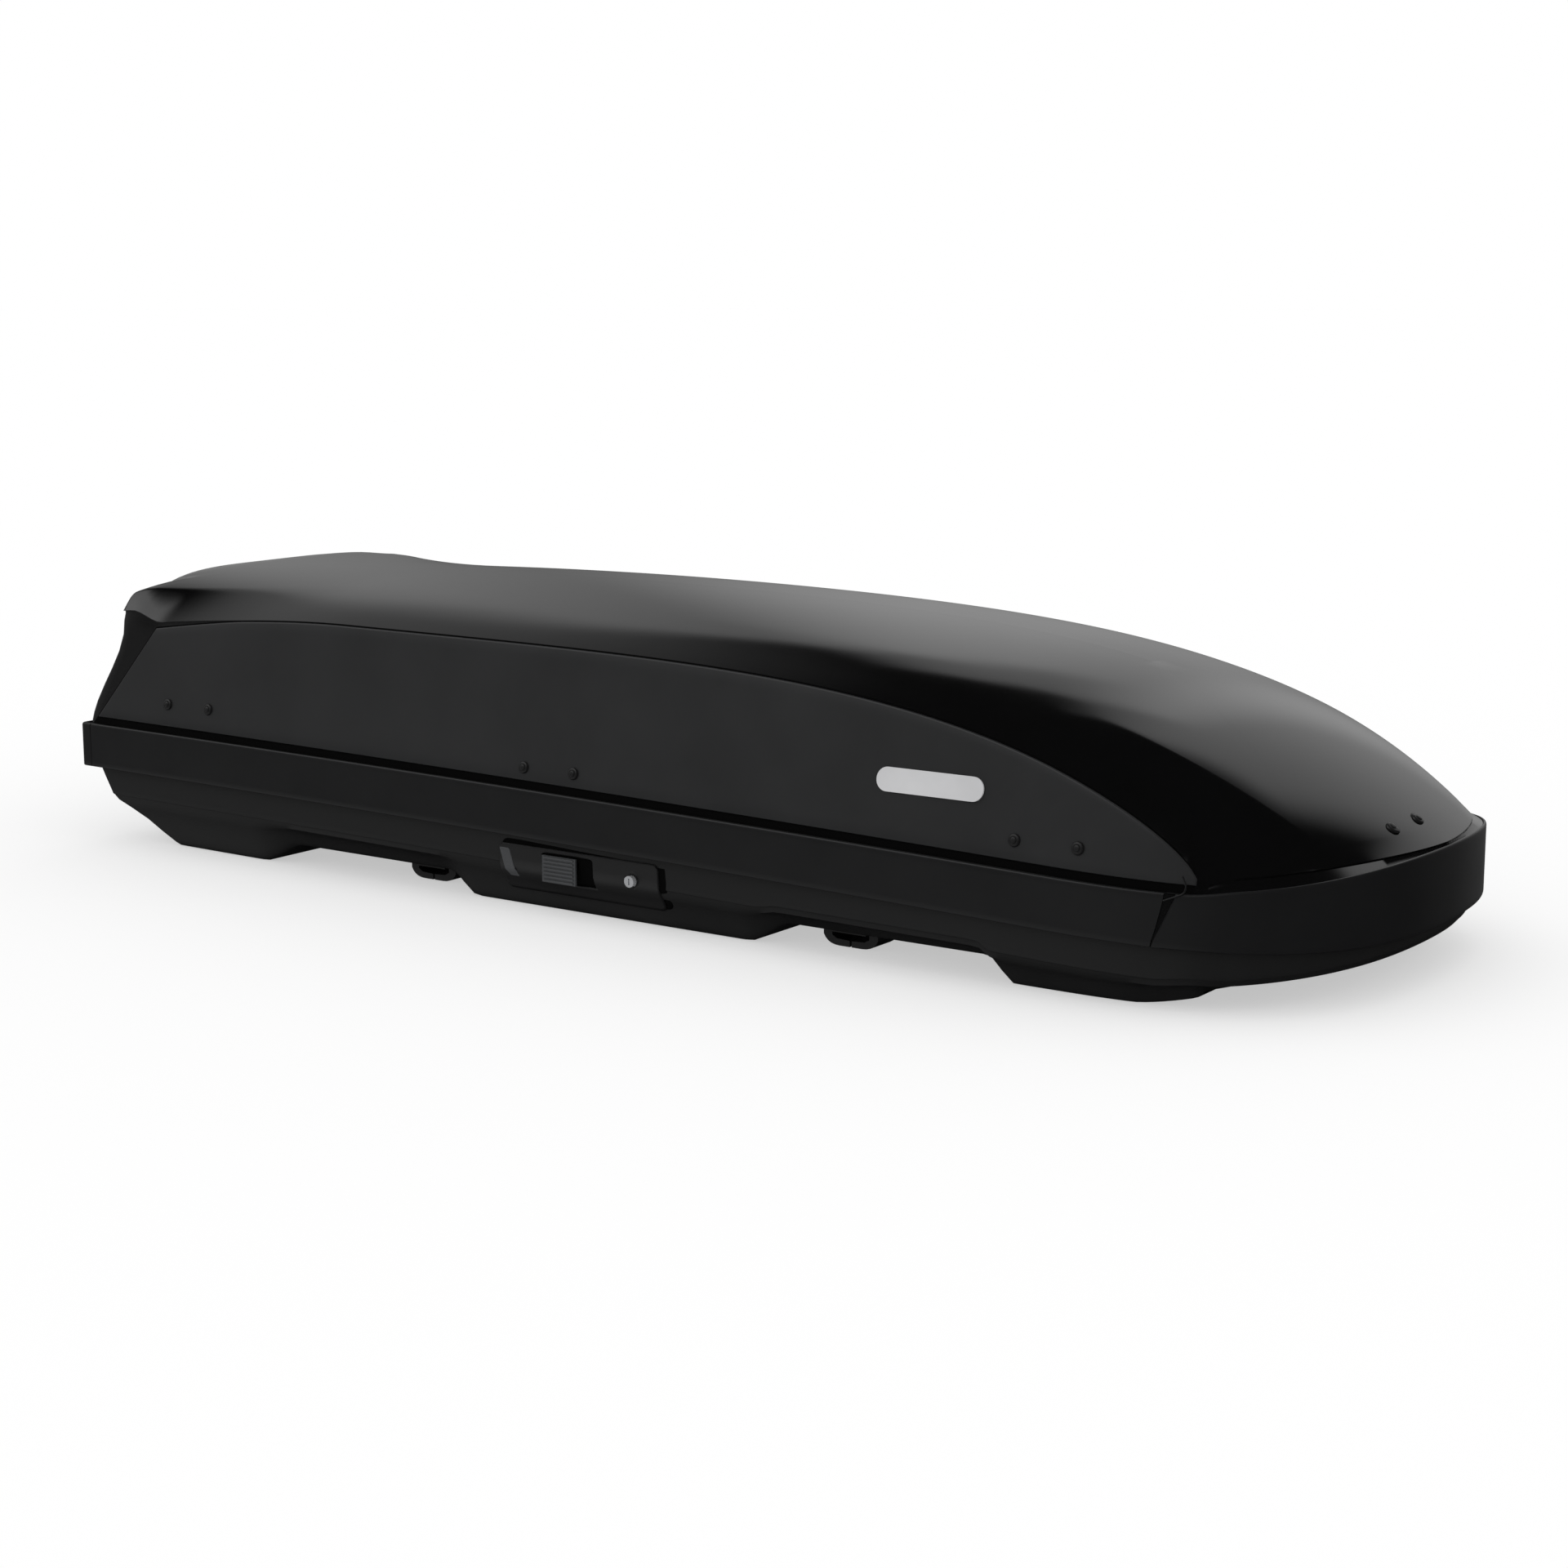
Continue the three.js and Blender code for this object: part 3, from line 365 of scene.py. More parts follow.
WALL_PARTS = (0.0, 0.04, 0.1, 0.2, 0.35, 0.5, 0.65, 0.8, 0.92, 1.0)
GROOVE_DROPS = (3.6, 3.5, 0.5, 0.0)
GROOVE_DEPTH = 2.2
SHOULDER_PARTS = (0.015, 0.04, 0.1, 0.2, 0.32, 0.45, 0.58, 0.7, 0.8, 0.88, 0.93, 0.97)
CROWN_PARTS = (0.012, 0.03, 0.06, 0.1, 0.15, 0.21, 0.28, 0.36, 0.45, 0.55, 0.66, 0.77, 0.88, 1.0)


def lid_rib(p, depth):
    lift = depth + TRIM_THICKNESS + 0.3
    skirt = inset(p, lift, lift, lift)
    points = [(skirt[0], skirt[1], skirt_z(p[0]) + 0.2), (skirt[0], skirt[1], band_top(p) - depth)]
    height = wall_height(p)
    foot = foot_z(p)
    for h in [height * part for part in WALL_PARTS[:-1]] + [height - drop for drop in GROOVE_DROPS]:
        sunk = 0.0
        if GROOVE_DROPS[0] > height - h > GROOVE_DROPS[-1] and depth == 0:
            sunk = GROOVE_DEPTH * smooth((height - 20) / 40)
        q = wall_point(p, h, depth + sunk)
        points.append((q[0], q[1], foot + h - depth * (1 - h / height)))
    edge = points[-1]
    top_edge = wall_point(p, height, 0)
    true_edge = (top_edge[0], top_edge[1], foot + height)
    spine = (min(600.0, max(-780.0, edge[0])), 0.0)
    crossing = crossing_part(edge, spine)
    first = max(0.06, crossing)
    parts = [first * s for s in SHOULDER_PARTS] + [lerp(first, 1, s) for s in (0.0,) + CROWN_PARTS]
    over = true_edge[2] - top_z(edge[0], edge[1], true_edge)
    for part in parts:
        x = lerp(edge[0], spine[0], part)
        y = 0.0 if part >= 1 else lerp(edge[1], 0, part)
        settle = over * (1 - clamp01(part / lerp(0.3, 0.05, smooth((p[0] - 700) / 100)))) ** 2
        points.append((x, y, top_z(x, y, true_edge) + settle - depth))
    return points


def lid_shell():
    outer = loop_of(lambda p: lid_rib(p, 0.0))
    inner = loop_of(lambda p: lid_rib(p, LID_THICKNESS))
    profiles = [a + b[::-1] for a, b in zip(outer, inner)]
    return sweep("lid_skin", profiles, True)


# ------------------------------------------------------------ side panels
def panel_point(x, foot_y, part, depth):
    foot = rim_z(x) + PANEL_FOOT_RISE
    height = max(2.0, panel_top(x + 80 * rear_weight(x)) - foot)
    h = height * part + PANEL_FOOT_RISE
    y = -foot_y * (1 - (PANEL_INSET + SIDE_LEAN * h + depth) / half_width(x))
    return (x + panel_lean(h) * rear_weight(x), y, foot + height * part)


def side_panel():
    length = PANEL_TIP_X - PANEL_REAR_X
    runs = [0, 0.7, 1.6, 3.0] + list(np.linspace(6, length - 150, 90))
    runs += list(length - 150 * (1 - np.linspace(0, 1, 40)[1:-3]) ** 1.4)
    runs += [length - 3, length - 1.6, length - 0.7, length]
    runs = sorted(set(round(float(r), 3) for r in runs))
    outer, inner = [], []
    columns = []
    for run in runs:
        x = PANEL_REAR_X + run
        height = max(2.0, panel_top(x + 80 * rear_weight(x)) - rim_z(x) - PANEL_FOOT_RISE)
        edge = min(0.16, 0.8 / height)
        band = min(0.3, 2.0 / height)
        between = [lerp(band, 1 - band, s) for s in np.linspace(0, 1, 14)[1:-1]]
        parts = [0, edge, band] + between + [1 - band, 1 - edge, 1]
        along = min(run, length - run)
        column_out, column_in = [], []
        for part in parts:
            gap = min(along, part * height, (1 - part) * height)
            depth = 1.0 * (1 - clamp01(gap / 1.8)) ** 2
            column_out.append(panel_point(x, outline_half(x), part, depth))
            column_in.append(panel_point(x, outline_half(x), part, PANEL_THICKNESS + 0.4))
        columns.append((column_out, column_in))
    rows = len(columns[0][0])
    outer = [[c[0][r] for c in columns] for r in range(rows)]
    inner = [[c[1][r] for c in columns] for r in range(rows)]
    return plate("panel_skin_right", outer, inner, 50)


# Margin and lift of the near-black sheet that paints shade in the gap round a side panel.
SHADE_SHEET_MARGIN = 4.0
SHADE_SHEET_LIFT = 0.4


def panel_shade_sheet():
    """Near-black sheet behind a side panel, painted shade seen as the gap round its edge."""
    length = PANEL_TIP_X - PANEL_REAR_X - 3
    outer, inner = [], []
    parts = np.linspace(0, 1, 14)
    columns = []
    for run in np.linspace(0, length, 120):
        x = PANEL_REAR_X + run
        foot = foot_z((x, -outline_half(x)))
        height = max(1.0, panel_top(x + 80 * rear_weight(x)) + 1.6 - foot - 0.8)
        column = []
        for lift in (SHADE_SHEET_LIFT, -0.6):
            ring = []
            for part in parts:
                h = 0.8 + height * part
                y = -outline_half(x) * (1 - (LID_WALL_INSET - lift + SIDE_LEAN * h) / half_width(x))
                ring.append((x + (panel_lean(h) - SHADE_SHEET_MARGIN) * rear_weight(x), y, foot + h))
            column.append(ring)
        columns.append(column)
    outer = [[c[0][r] for c in columns] for r in range(len(parts))]
    inner = [[c[1][r] for c in columns] for r in range(len(parts))]
    return plate("panel_shade_sheet_right", outer, inner)


# ------------------------------------------------------------ rim band
def band_profile(p, lip, shift=None):
    """Rounded band section at a rim point; shift moves its points along the box by height."""
    low = skirt_z(p[0]) - 0.5
    top = band_top(p) + 1.9
    section = [
        (6.0, low + 2.2), (2.4, low + 0.1), (1.1, low), (0.3, low + 0.6), (0.0, low + 1.8),
        (0.0, low + 8), (0.0, lerp(low, top, 0.35)), (0.0, lerp(low, top, 0.65)), (0.0, top - 9),
        (0.0, top - 3.4), (0.25, top - 2.0), (0.9, top - 0.8), (1.9, top - 0.15), (3.2, top),
        (lip, top), (lip, top - 1.4), (TRIM_THICKNESS, top - 1.6), (TRIM_THICKNESS, low + 3.4),
    ]
    points = []
    for depth, z in section:
        place = p
        if shift:
            x = shift(p[0], z)
            place = (x, -outline_half(x))
        q = inset(place, depth, depth, depth)
        points.append((q[0], q[1], z))
    return points


SEAM_LOW = 782.0
SEAM_HIGH = 796.0
SEAM_BLEND = 60.0


def seam_x(z, low, high):
    return lerp(low, high, clamp01((z - 86) / 54) ** 0.8)


def side_band():
    xs = np.concatenate([np.linspace(-978, 640, 110), np.linspace(653, SEAM_HIGH, 22)])

    def shift(x, z):
        weight = clamp01((x - (SEAM_HIGH - SEAM_BLEND)) / SEAM_BLEND)
        return x + weight * (seam_x(z, SEAM_LOW, SEAM_HIGH) - SEAM_HIGH)
    profiles = [band_profile((x, -outline_half(x)), 3.6, shift) for x in xs]
    return sweep("band_skin_right", profiles, False)


def nose_band():
    start = 810.0

    def shift(x, z):
        weight = clamp01((start + SEAM_BLEND - x) / SEAM_BLEND)
        return x + weight * (seam_x(z, SEAM_LOW + 1.5, start - 1) - start)
    near = [(start, -outline_half(start))] + [p for p in OUTLINE if p[0] > start + 2]
    ribs = [band_profile(p, 3.4, shift if p[0] < start + SEAM_BLEND else None) for p in near]
    far = [mirrored_points(r) for r in ribs[:-1]][::-1]
    return sweep("band_skin_nose", ribs + far, False)


def rear_band():
    near = [p for p in OUTLINE if p[0] < -979.5] + [(-979.5, -half_width(-979.5))]
    ribs = [band_profile(p, 3.7) for p in near]
    far = [mirrored_points(r) for r in ribs[1:]]
    return sweep("band_skin_rear", far[::-1] + ribs, False)


# ------------------------------------------------------------ tub
def under_z(x):
    for start, flat, flat_end, end in (REAR_CHANNEL, FRONT_CHANNEL):
        if start < x < end:
            return CHANNEL_DEPTH * smooth((x - start) / (flat - start)) * smooth((end - x) / (end - flat_end))
    if x > NOSE_LIFT_X:
        return 62 * ((x - NOSE_LIFT_X) / 230) ** 1.4
    return 0.0


def tub_rib(p, depth):
    rows = []
    skirt = skirt_z(p[0])
    deep = inset(p, 54, 150, 105)
    floor = under_z(deep[0])
    strip = max(skirt - STRIP_HEIGHT, lerp(floor, skirt, 0.45))
    low = lerp(floor, strip, 0.15) + depth * 0.5
    marks = (
        (11, 11, 11, rim_z(p[0]) - TUB_RIM_DROP),
        (12, 24, 13, skirt), (13.2, 32, 15.6, lerp(skirt, strip, 0.4)),
        (14.3, 41, 18.2, lerp(skirt, strip, 0.8)),
        (14.6, 45, 19.7, strip + 1.2), (14.8, 46, 20.3, strip + 0.4),
        (15.6, 46.8, 21.1, strip - 0.3), (16, 47.4, 21.7, strip - 1), (18.4, 53, 28, strip - 8),
        (25, 73, 44, lerp(strip - 5, low, 0.25)), (34, 97, 60, lerp(strip - 5, low, 0.52)),
        (42, 122, 78, lerp(strip - 5, low, 0.85)), (46, 134, 87.5, low),
        (49, 141, 94, low - (low - floor) * 0.5),
        (52, 147, 101, floor + (low - floor) * 0.16 + depth * 0.6), (57, 155, 110, floor + depth),
    )
    for side, rear, nose, z in marks:
        q = inset(p, side + depth, rear + depth, nose + depth)
        rows.append((q[0], q[1], z))
    edge = rows[-1]
    spine_x = min(TUB_SPINE_FRONT_X, max(-800.0, edge[0]))
    for part in (0.04, 0.12, 0.3, 0.5, 0.75, 1.0):
        x = lerp(edge[0], spine_x, part)
        y = 0.0 if part == 1 else lerp(edge[1], 0, part)
        rows.append((x, y, under_z(x) + depth))
    return rows


def tub_skin():
    outer = loop_of(lambda p: tub_rib(p, 0.0))
    inner = loop_of(lambda p: tub_rib(p, TUB_THICKNESS))
    profiles = [a[::-1] + b for a, b in zip(outer, inner)]
    return sweep("tub_skin", profiles, True)


# ------------------------------------------------------------ small parts
def lathe(name, profile, sides, sharp_deg=38.0):
    """Turned around Z: profile is (radius, height), the ends on the axis."""
    verts, faces = [], []
    rings = []
    for radius, height in profile:
        if radius == 0:
            rings.append([len(verts)])
            verts.append((0, 0, height))
            continue
        ring = []
        for i in range(sides):
            angle = 2 * math.pi * i / sides
            ring.append(len(verts))
            verts.append((radius * math.cos(angle), radius * math.sin(angle), height))
        rings.append(ring)
    for a, b in zip(rings, rings[1:]):
        for i in range(sides):
            n = (i + 1) % sides
            if len(a) == 1:
                faces.append((a[0], b[n], b[i]))
            elif len(b) == 1:
                faces.append((a[i], a[n], b[0]))
            else:
                faces.append((a[i], a[n], b[n], b[i]))
    return build(name, verts, faces, sharp_deg)


def prism(name, outline, low_y, high_y):
    """Outline of (x, z) points carried along Y."""
    count = len(outline)
    verts = [(x, low_y, z) for x, z in outline] + [(x, high_y, z) for x, z in outline]
    faces = [tuple(range(count)), tuple(range(2 * count - 1, count - 1, -1))]
    for i in range(count):
        n = (i + 1) % count
        faces.append((i, count + i, count + n, n))
    piece = build(name, verts, faces)
    mesh = piece.data
    work = bmesh.new()
    work.from_mesh(mesh)
    bmesh.ops.recalc_face_normals(work, faces=work.faces)
    work.to_mesh(mesh)
    work.free()
    return piece


def settle(piece):
    """Bakes a piece's modifiers into its mesh."""
    graph = bpy.context.evaluated_depsgraph_get()
    mesh = bpy.data.meshes.new_from_object(piece.evaluated_get(graph), depsgraph=graph)
    piece.modifiers.clear()
    piece.data = mesh
    return piece


def carve(piece, *tools):
    for tool in tools:
        cut = piece.modifiers.new("cut", "BOOLEAN")
        cut.operation = "DIFFERENCE"
        cut.solver = "EXACT"
        cut.object = tool
    settle(piece)
    for tool in tools:
        bpy.data.objects.remove(tool)
    return piece


def rounded(x0, x1, z0, z1, radius, steps=6):
    points = []
    for cx, cz, start in ((x1 - radius, z0 + radius, -90), (x1 - radius, z1 - radius, 0),
                          (x0 + radius, z1 - radius, 90), (x0 + radius, z0 + radius, 180)):
        for i in range(steps + 1):
            angle = math.radians(start + 90 * i / steps)
            points.append((cx + radius * math.cos(angle), cz + radius * math.sin(angle)))
    return points


def panel_frame(x, rise, side):
    """Place and axes on a side panel's face: along the box, up the panel, out of it."""
    behind, ahead = outline_half(x - RIVET_SPACING / 2), outline_half(x + RIVET_SPACING / 2)
    y = -((behind + ahead) / 2 - PANEL_INSET - SIDE_LEAN * rise)
    along = Vector((RIVET_SPACING, behind - ahead, 0)).normalized()
    up = Vector((0, SIDE_LEAN, 1))
    up = (up - along * up.dot(along)).normalized()
    out = along.cross(up)
    origin = Vector((x, y, rim_z(x) + rise))
    if side < 0:
        return origin, along, up, out
    flip = Vector((1, -1, 1))
    return origin * flip, along * flip, up * flip, out * flip


def placed(piece, origin, along, up, out, offset=0.0):
    """Moves a piece's mesh into a frame: its X along, Y up, Z out."""
    for vert in piece.data.vertices:
        co = vert.co.copy()
        place = (origin + along * offset) * MM
        vert.co = place + along * co.x + up * co.y + out * co.z
    if along.cross(up).dot(out) < 0:
        piece.data.flip_normals()
    piece.data.update()
    return piece


def joined(name, pieces):
    """One object from several."""
    work = bmesh.new()
    for piece in pieces:
        work.from_mesh(piece.data)
    mesh = bpy.data.meshes.new(name)
    work.to_mesh(mesh)
    work.free()
    for piece in pieces:
        bpy.data.objects.remove(piece)
    result = bpy.data.objects.new(name, mesh)
    bpy.context.scene.collection.objects.link(result)
    return result


RIVET_PROFILE = (
    (0, 4.3), (2.3, 4.25), (3.3, 4.0), (3.9, 3.4), (4.3, 2.9), (5.0, 3.0),
    (6.2, 2.8), (7.3, 2.2), (8.0, 1.3), (8.2, 0.2), (8.2, -0.4), (0, -0.4))


def rivet(name):
    return lathe(name, RIVET_PROFILE, 28)


def station_rivets(side, label):
    caps = []
    for x, rise in STATIONS:
        for offset in (-RIVET_SPACING / 2, RIVET_SPACING / 2):
            cap = rivet("cap")
            caps.append(placed(cap, *panel_frame(x, rise, side), offset))
    return joined(f"rivet_caps_{label}", caps)


# ------------------------------------------------------------ latch, nose and tub details
LATCH_REAR_X = -188.0
LATCH_FRONT_X = 79.0
LATCH_Z = 66.0
SLIDER_X = -82.0
SLIDER_TRAVEL = 22.0
SLIDER_LENGTH = 56.0
SLIDER_HEIGHT = 36.0
LOCK_X = 36.0
LOCK_R = 7.6
CLAMP_XS = (-378.0, 323.0)
CLAMP_Y = 250.0
CLAMP_STEM_R = 7.0


def latch_face(z):
    """Y of the locking panel's outer face at a height."""
    return float(np.interp(z, (25, 50, 56.6, 94), (-331.5, -345.6, -351.5, -353.6)))


def face_plate(name, x0, x1, bottom, top, corner, lift, thickness, slant=0.0):
    """Plate with rounded corners laid on the latch face; slant leans its ends."""
    runs = corner * (1 - np.cos(np.linspace(0, math.pi / 2, 9)))
    xs = list(x0 + runs) + list(np.linspace(x0 + corner, x1 - corner, 24)[1:-1]) + list(x1 - runs[::-1])
    outer, inner = [], []
    parts = (0, 0.02, 0.06, 0.13, 0.25, 0.4, 0.55, 0.7, 0.82, 0.9, 0.95, 0.98, 1)
    for part in parts:
        row_out, row_in = [], []
        for x in xs:
            side = min(x - x0, x1 - x)
            trim = 0.0 if side >= corner else corner - math.sqrt(max(0.0, corner ** 2 - (corner - side) ** 2))
            low, high = bottom + trim, top - trim
            z = lerp(low, high, part)
            gap = min(side, z - low, high - z)
            drop = 1.2 * (1 - clamp01(gap / 1.6)) ** 2
            place = x + slant * (z - bottom)
            row_out.append((place, latch_face(z) - lift + drop, z))
            row_in.append((place, latch_face(z) - lift + thickness, z))
        outer.append(row_out)
        inner.append(row_in)
    return plate(name, outer, inner)


def latch_plate():
    face = face_plate("latch_panel", LATCH_REAR_X, LATCH_FRONT_X, 27, 92, 9, 0.8, 5)
    middle = SLIDER_X + SLIDER_TRAVEL / 2
    half = (SLIDER_LENGTH + SLIDER_TRAVEL + 8) / 2
    height = (SLIDER_HEIGHT + 4) / 2
    window = prism("window", rounded(middle - half, middle + half, LATCH_Z - height, LATCH_Z + height, 4),
                   -370, -320)
    key_hole = prism("key_hole", rounded(LOCK_X - LOCK_R - 0.5, LOCK_X + LOCK_R + 0.5, LATCH_Z - LOCK_R - 0.5,
                                         LATCH_Z + LOCK_R + 0.5, LOCK_R + 0.49, 10), -370, -320)
    return carve(face, window, key_hole)


def latch_gap_shade():
    """Near-black plate behind the locking panel, painted shade in the gap above and in front of it."""
    gap_shade = face_plate("latch_gap_shade", LATCH_REAR_X + 4, LATCH_FRONT_X + 12, 30, 100, 12, -1.6, 1.4)
    middle = SLIDER_X + SLIDER_TRAVEL / 2
    half = (SLIDER_TRAVEL + 14) / 2
    slot = prism("slot", rounded(middle - half, middle + half, LATCH_Z + 3, LATCH_Z + 13, 2), -370, -320)
    hole = prism("hole", rounded(LOCK_X - LOCK_R - 0.8, LOCK_X + LOCK_R + 0.8, LATCH_Z - LOCK_R - 0.8,
                                 LATCH_Z + LOCK_R + 0.8, LOCK_R + 0.79, 10), -370, -320)
    return carve(gap_shade, slot, hole)


def latch_insert():
    return face_plate("latch_insert", -176, -158, 46, 86, 3, 1.5, 1.2, slant=-0.28)


def tub_tools():
    """Cutters for the slider's arm, the lock and the clamps' stems."""
    middle = SLIDER_X + SLIDER_TRAVEL / 2
    half = (SLIDER_TRAVEL + 14) / 2
    tools = [prism("arm_slot", rounded(middle - half, middle + half, LATCH_Z + 3, LATCH_Z + 13, 2), -362, -332)]
    lock_hole = LOCK_R + 0.6
    lock_outline = rounded(LOCK_X - lock_hole, LOCK_X + lock_hole,
                           LATCH_Z - lock_hole, LATCH_Z + lock_hole, lock_hole - 0.01, 10)
    tools.append(prism("lock_hole", lock_outline, -368, -328))
    for x in CLAMP_XS:
        for y in (-CLAMP_Y, CLAMP_Y):
            stem = lathe("stem_hole", ((0, 17), (CLAMP_STEM_R + 1, 17), (CLAMP_STEM_R + 1, 47), (0, 47)), 28)
            for vert in stem.data.vertices:
                vert.co += Vector((x, y, 0)) * MM
            stem.data.flip_normals()
            tools.append(stem)
    return tools


NOSE_RIVETS = ((957.0, -76.0), (963.0, -13.0))


def nose_rivets(shell):
    """Rivet caps on the lid's nose, laid on the shell's surface."""
    bpy.context.view_layer.update()
    caps = []
    for x, y in NOSE_RIVETS:
        _, place, normal, _ = shell.ray_cast(Vector((x, y, 500)) * MM, Vector((0, 0, -1)))
        along = Vector((0, 1, 0)).cross(normal).normalized()
        caps.append(placed(rivet("cap"), place / MM, along, normal.cross(along), normal))
    return joined("rivet_caps_nose", caps)


LIP_PATH = ((816.5, -337.3, 166.5), (820.3, -336.0, 155.4), (817.9, -336.8, 146.7), (810.0, -339.5, 142.4),
            (796.0, -343.8, 136.6))


def seam_slit_shade():
    """Near-black strip behind the slit between the side band and the nose band: painted shade in the slit."""
    xs = np.linspace(768, 816, 12)
    rows = []
    for depth in (3.0, 3.4):
        rows.append([[(*inset((x, -outline_half(x)), depth, depth, depth), z) for x in xs]
                     for z in np.linspace(skirt_z(800) + 3, rim_z(800) - 4, 8)])
    return plate("seam_slit_shade", rows[0], rows[1])


def seam_lip():
    """Rolled edge where the nose band meets the side panel's tip."""
    knots = np.array(LIP_PATH)
    path = []
    for i in range(len(knots) - 1):
        before, here = knots[max(0, i - 1)], knots[i]
        there, after = knots[i + 1], knots[min(len(knots) - 1, i + 2)]
        for t in np.linspace(0, 1, 9)[:-1]:
            square = (2 * before - 5 * here + 4 * there - after) * t * t
            cube = (3 * here - before - 3 * there + after) * t ** 3
            path.append(0.5 * (2 * here + (there - before) * t + square + cube))
    path.append(knots[-1])
    radius = 1.1
    profiles = []
    for i, point in enumerate(path):
        run = path[min(i + 1, len(path) - 1)] - path[max(i - 1, 0)]
        run /= np.linalg.norm(run)
        side = np.cross(run, (0, 1, 0))
        side /= np.linalg.norm(side)
        up = np.cross(side, run)
        ring = [point + radius * (math.cos(a) * side + math.sin(a) * up)
                for a in np.linspace(0, 2 * math.pi, 13)[:-1]]
        profiles.append([tuple(spot) for spot in ring])
    return sweep("seam_lip", profiles, False)


# ------------------------------------------------------------ materials
class Nodes:
    """A short way to add and join shader nodes."""

    def __init__(self, tree):
        self.tree = tree

    def add(self, kind, inputs=None, **settings):
        node = self.tree.nodes.new(kind)
        for key, value in settings.items():
            setattr(node, key, value)
        for key, value in (inputs or {}).items():
            if isinstance(value, bpy.types.NodeSocket):
                self.tree.links.new(value, node.inputs[key])
            else:
                node.inputs[key].default_value = value
        return node

    def math(self, operation, a, b=0.0):
        return self.add("ShaderNodeMath", {0: a, 1: b}, operation=operation).outputs[0]

    def span(self, value, low, high, out_low=0.0, out_high=1.0, soft=True):
        kind = "SMOOTHSTEP" if soft else "LINEAR"
        node = self.add("ShaderNodeMapRange", {0: value, 1: low, 2: high, 3: out_low, 4: out_high},
                        interpolation_type=kind)
        return node.outputs[0]


def material(name, colour, roughness, spread=0.06, grain=900.0, depth=0.02, wave=0.0, wave_scale=30.0,
             metallic=0.0, specular=0.5, coat=0.0, tint=0.12, mottle=6.0):
    """Moulded or metal surface: fine grain, slow waves, uneven gloss and a little colour drift."""
    made = bpy.data.materials.new(name)
    made.use_nodes = True
    tree = made.node_tree
    tree.nodes.clear()
    n = Nodes(tree)
    place = n.add("ShaderNodeTexCoord").outputs["Object"]
    slow = n.add("ShaderNodeTexNoise", {
        "Vector": place, "Scale": mottle, "Detail": 4.0, "Roughness": 0.6}).outputs[0]
    fine = n.add("ShaderNodeTexNoise", {
        "Vector": place, "Scale": grain, "Detail": 2.0, "Roughness": 0.55}).outputs[0]
    gloss = n.span(slow, 0.25, 0.75, roughness - spread, roughness + spread, False)
    shade = n.span(slow, 0.25, 0.75, 1 - tint, 1 + tint, False)
    base = n.add("ShaderNodeVectorMath", {0: colour, "Scale": shade}, operation="SCALE").outputs[0]
    height = n.math("MULTIPLY", fine, depth)
    if wave:
        ripple = n.add("ShaderNodeTexNoise", {"Vector": place, "Scale": wave_scale, "Detail": 1.0}).outputs[0]
        height = n.math("ADD", height, n.math("MULTIPLY", ripple, wave))
    bump = n.add("ShaderNodeBump", {"Strength": 1.0, "Distance": MM, "Height": height}).outputs[0]
    shader = n.add("ShaderNodeBsdfPrincipled", {
        "Base Color": base, "Metallic": metallic, "Roughness": gloss, "Normal": bump,
        "Specular IOR Level": specular, "Coat Weight": coat, "Coat Roughness": 0.05})
    out = n.add("ShaderNodeOutputMaterial")
    tree.links.new(shader.outputs[0], out.inputs[0])
    return made


FINISH = {
    "lid_gloss": material(
        "gloss_black_shell", (0.0022, 0.0022, 0.0023), 0.11, 0.02, 1400, 0.001, 0.03, 22, tint=0.1),
    "panel_satin": material(
        "satin_grey_panel", (0.0152, 0.0155, 0.0162), 0.42, 0.05, 1100, 0.05, specular=0.4),
    "trim_matte": material(
        "satin_black_band", (0.0066, 0.0067, 0.0071), 0.38, 0.05, 1100, 0.04, specular=0.35),
    "tub_matte": material(
        "grained_black_tub", (0.0085, 0.0086, 0.0088), 0.55, 0.07, 900, 0.08, specular=0.35),
    # Near-black, dull finish for the sheets that paint shade in gaps and slits.
    "painted_gap_shade": material("painted_gap_shade", (0.0012, 0.0012, 0.0012), 0.85, 0.06, 600, 0.05, specular=0.08),
    "seal_rubber": material("seal_rubber", (0.009, 0.009, 0.009), 0.8, 0.08, 600, 0.08, specular=0.3),
    "dark_plastic": material("dark_plastic", (0.006, 0.006, 0.0063), 0.4, 0.06, 1000, 0.04, specular=0.45),
    "grip_grey": material("grip_grey", (0.05, 0.052, 0.055), 0.5, 0.06, 1200, 0.05, specular=0.4),
    "lock_chrome": material("lock_chrome", (0.62, 0.63, 0.65), 0.25, 0.05, 800, 0.01, metallic=0.6),
    "badge_silver": material("badge_silver", (0.60, 0.60, 0.61), 0.42, 0.05, 900, 0.02, metallic=0.15),
    "steel": material(
        "zinc_steel", (0.42, 0.43, 0.45), 0.38, 0.08, 500, 0.02, metallic=1.0, tint=0.2, mottle=30),
}


def give(piece, slot_name, look=None):
    piece.data.materials.clear()
    piece.data.materials.append(FINISH[look or slot_name])


def finished(piece, body, slot_name, replaced=(), look=None):
    give(piece, slot_name, look)
    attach(piece, body)
    if replaced:
        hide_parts(*replaced)
    return piece


# ------------------------------------------------------------ pieces
CAD_SLOTS = (("seal_rubber", ("rim_seal",)), ("lock_chrome", ("lock_cylinder",)),
             ("grip_grey", ("latch_slider",)), ("badge_silver", ("badge",)),
             ("dark_plastic", ("latch_plate", "stay_tube", "clamp_", "lock_bar_guide")))


def cad_slot(name):
    for slot_name, starts in CAD_SLOTS:
        if name.startswith(starts):
            return slot_name
    return "steel"


SOFT_EDGES = {"badge": 1.0, "lock_cylinder": 0.7, "latch_slider": 0.4, "clamp_jaw": 1.6, "clamp_claw": 1.6,
              "clamp_body": 1.0, "clamp_knob": 2.0}


def soft_edge(piece, width):
    """Rounds a carried-over node's edges without changing its mesh."""
    edge = piece.modifiers.new("soft_edge", "BEVEL")
    edge.width = width * MM
    edge.segments = 3
    edge.limit_method = "ANGLE"
    edge.angle_limit = math.radians(40)
    edge.harden_normals = True


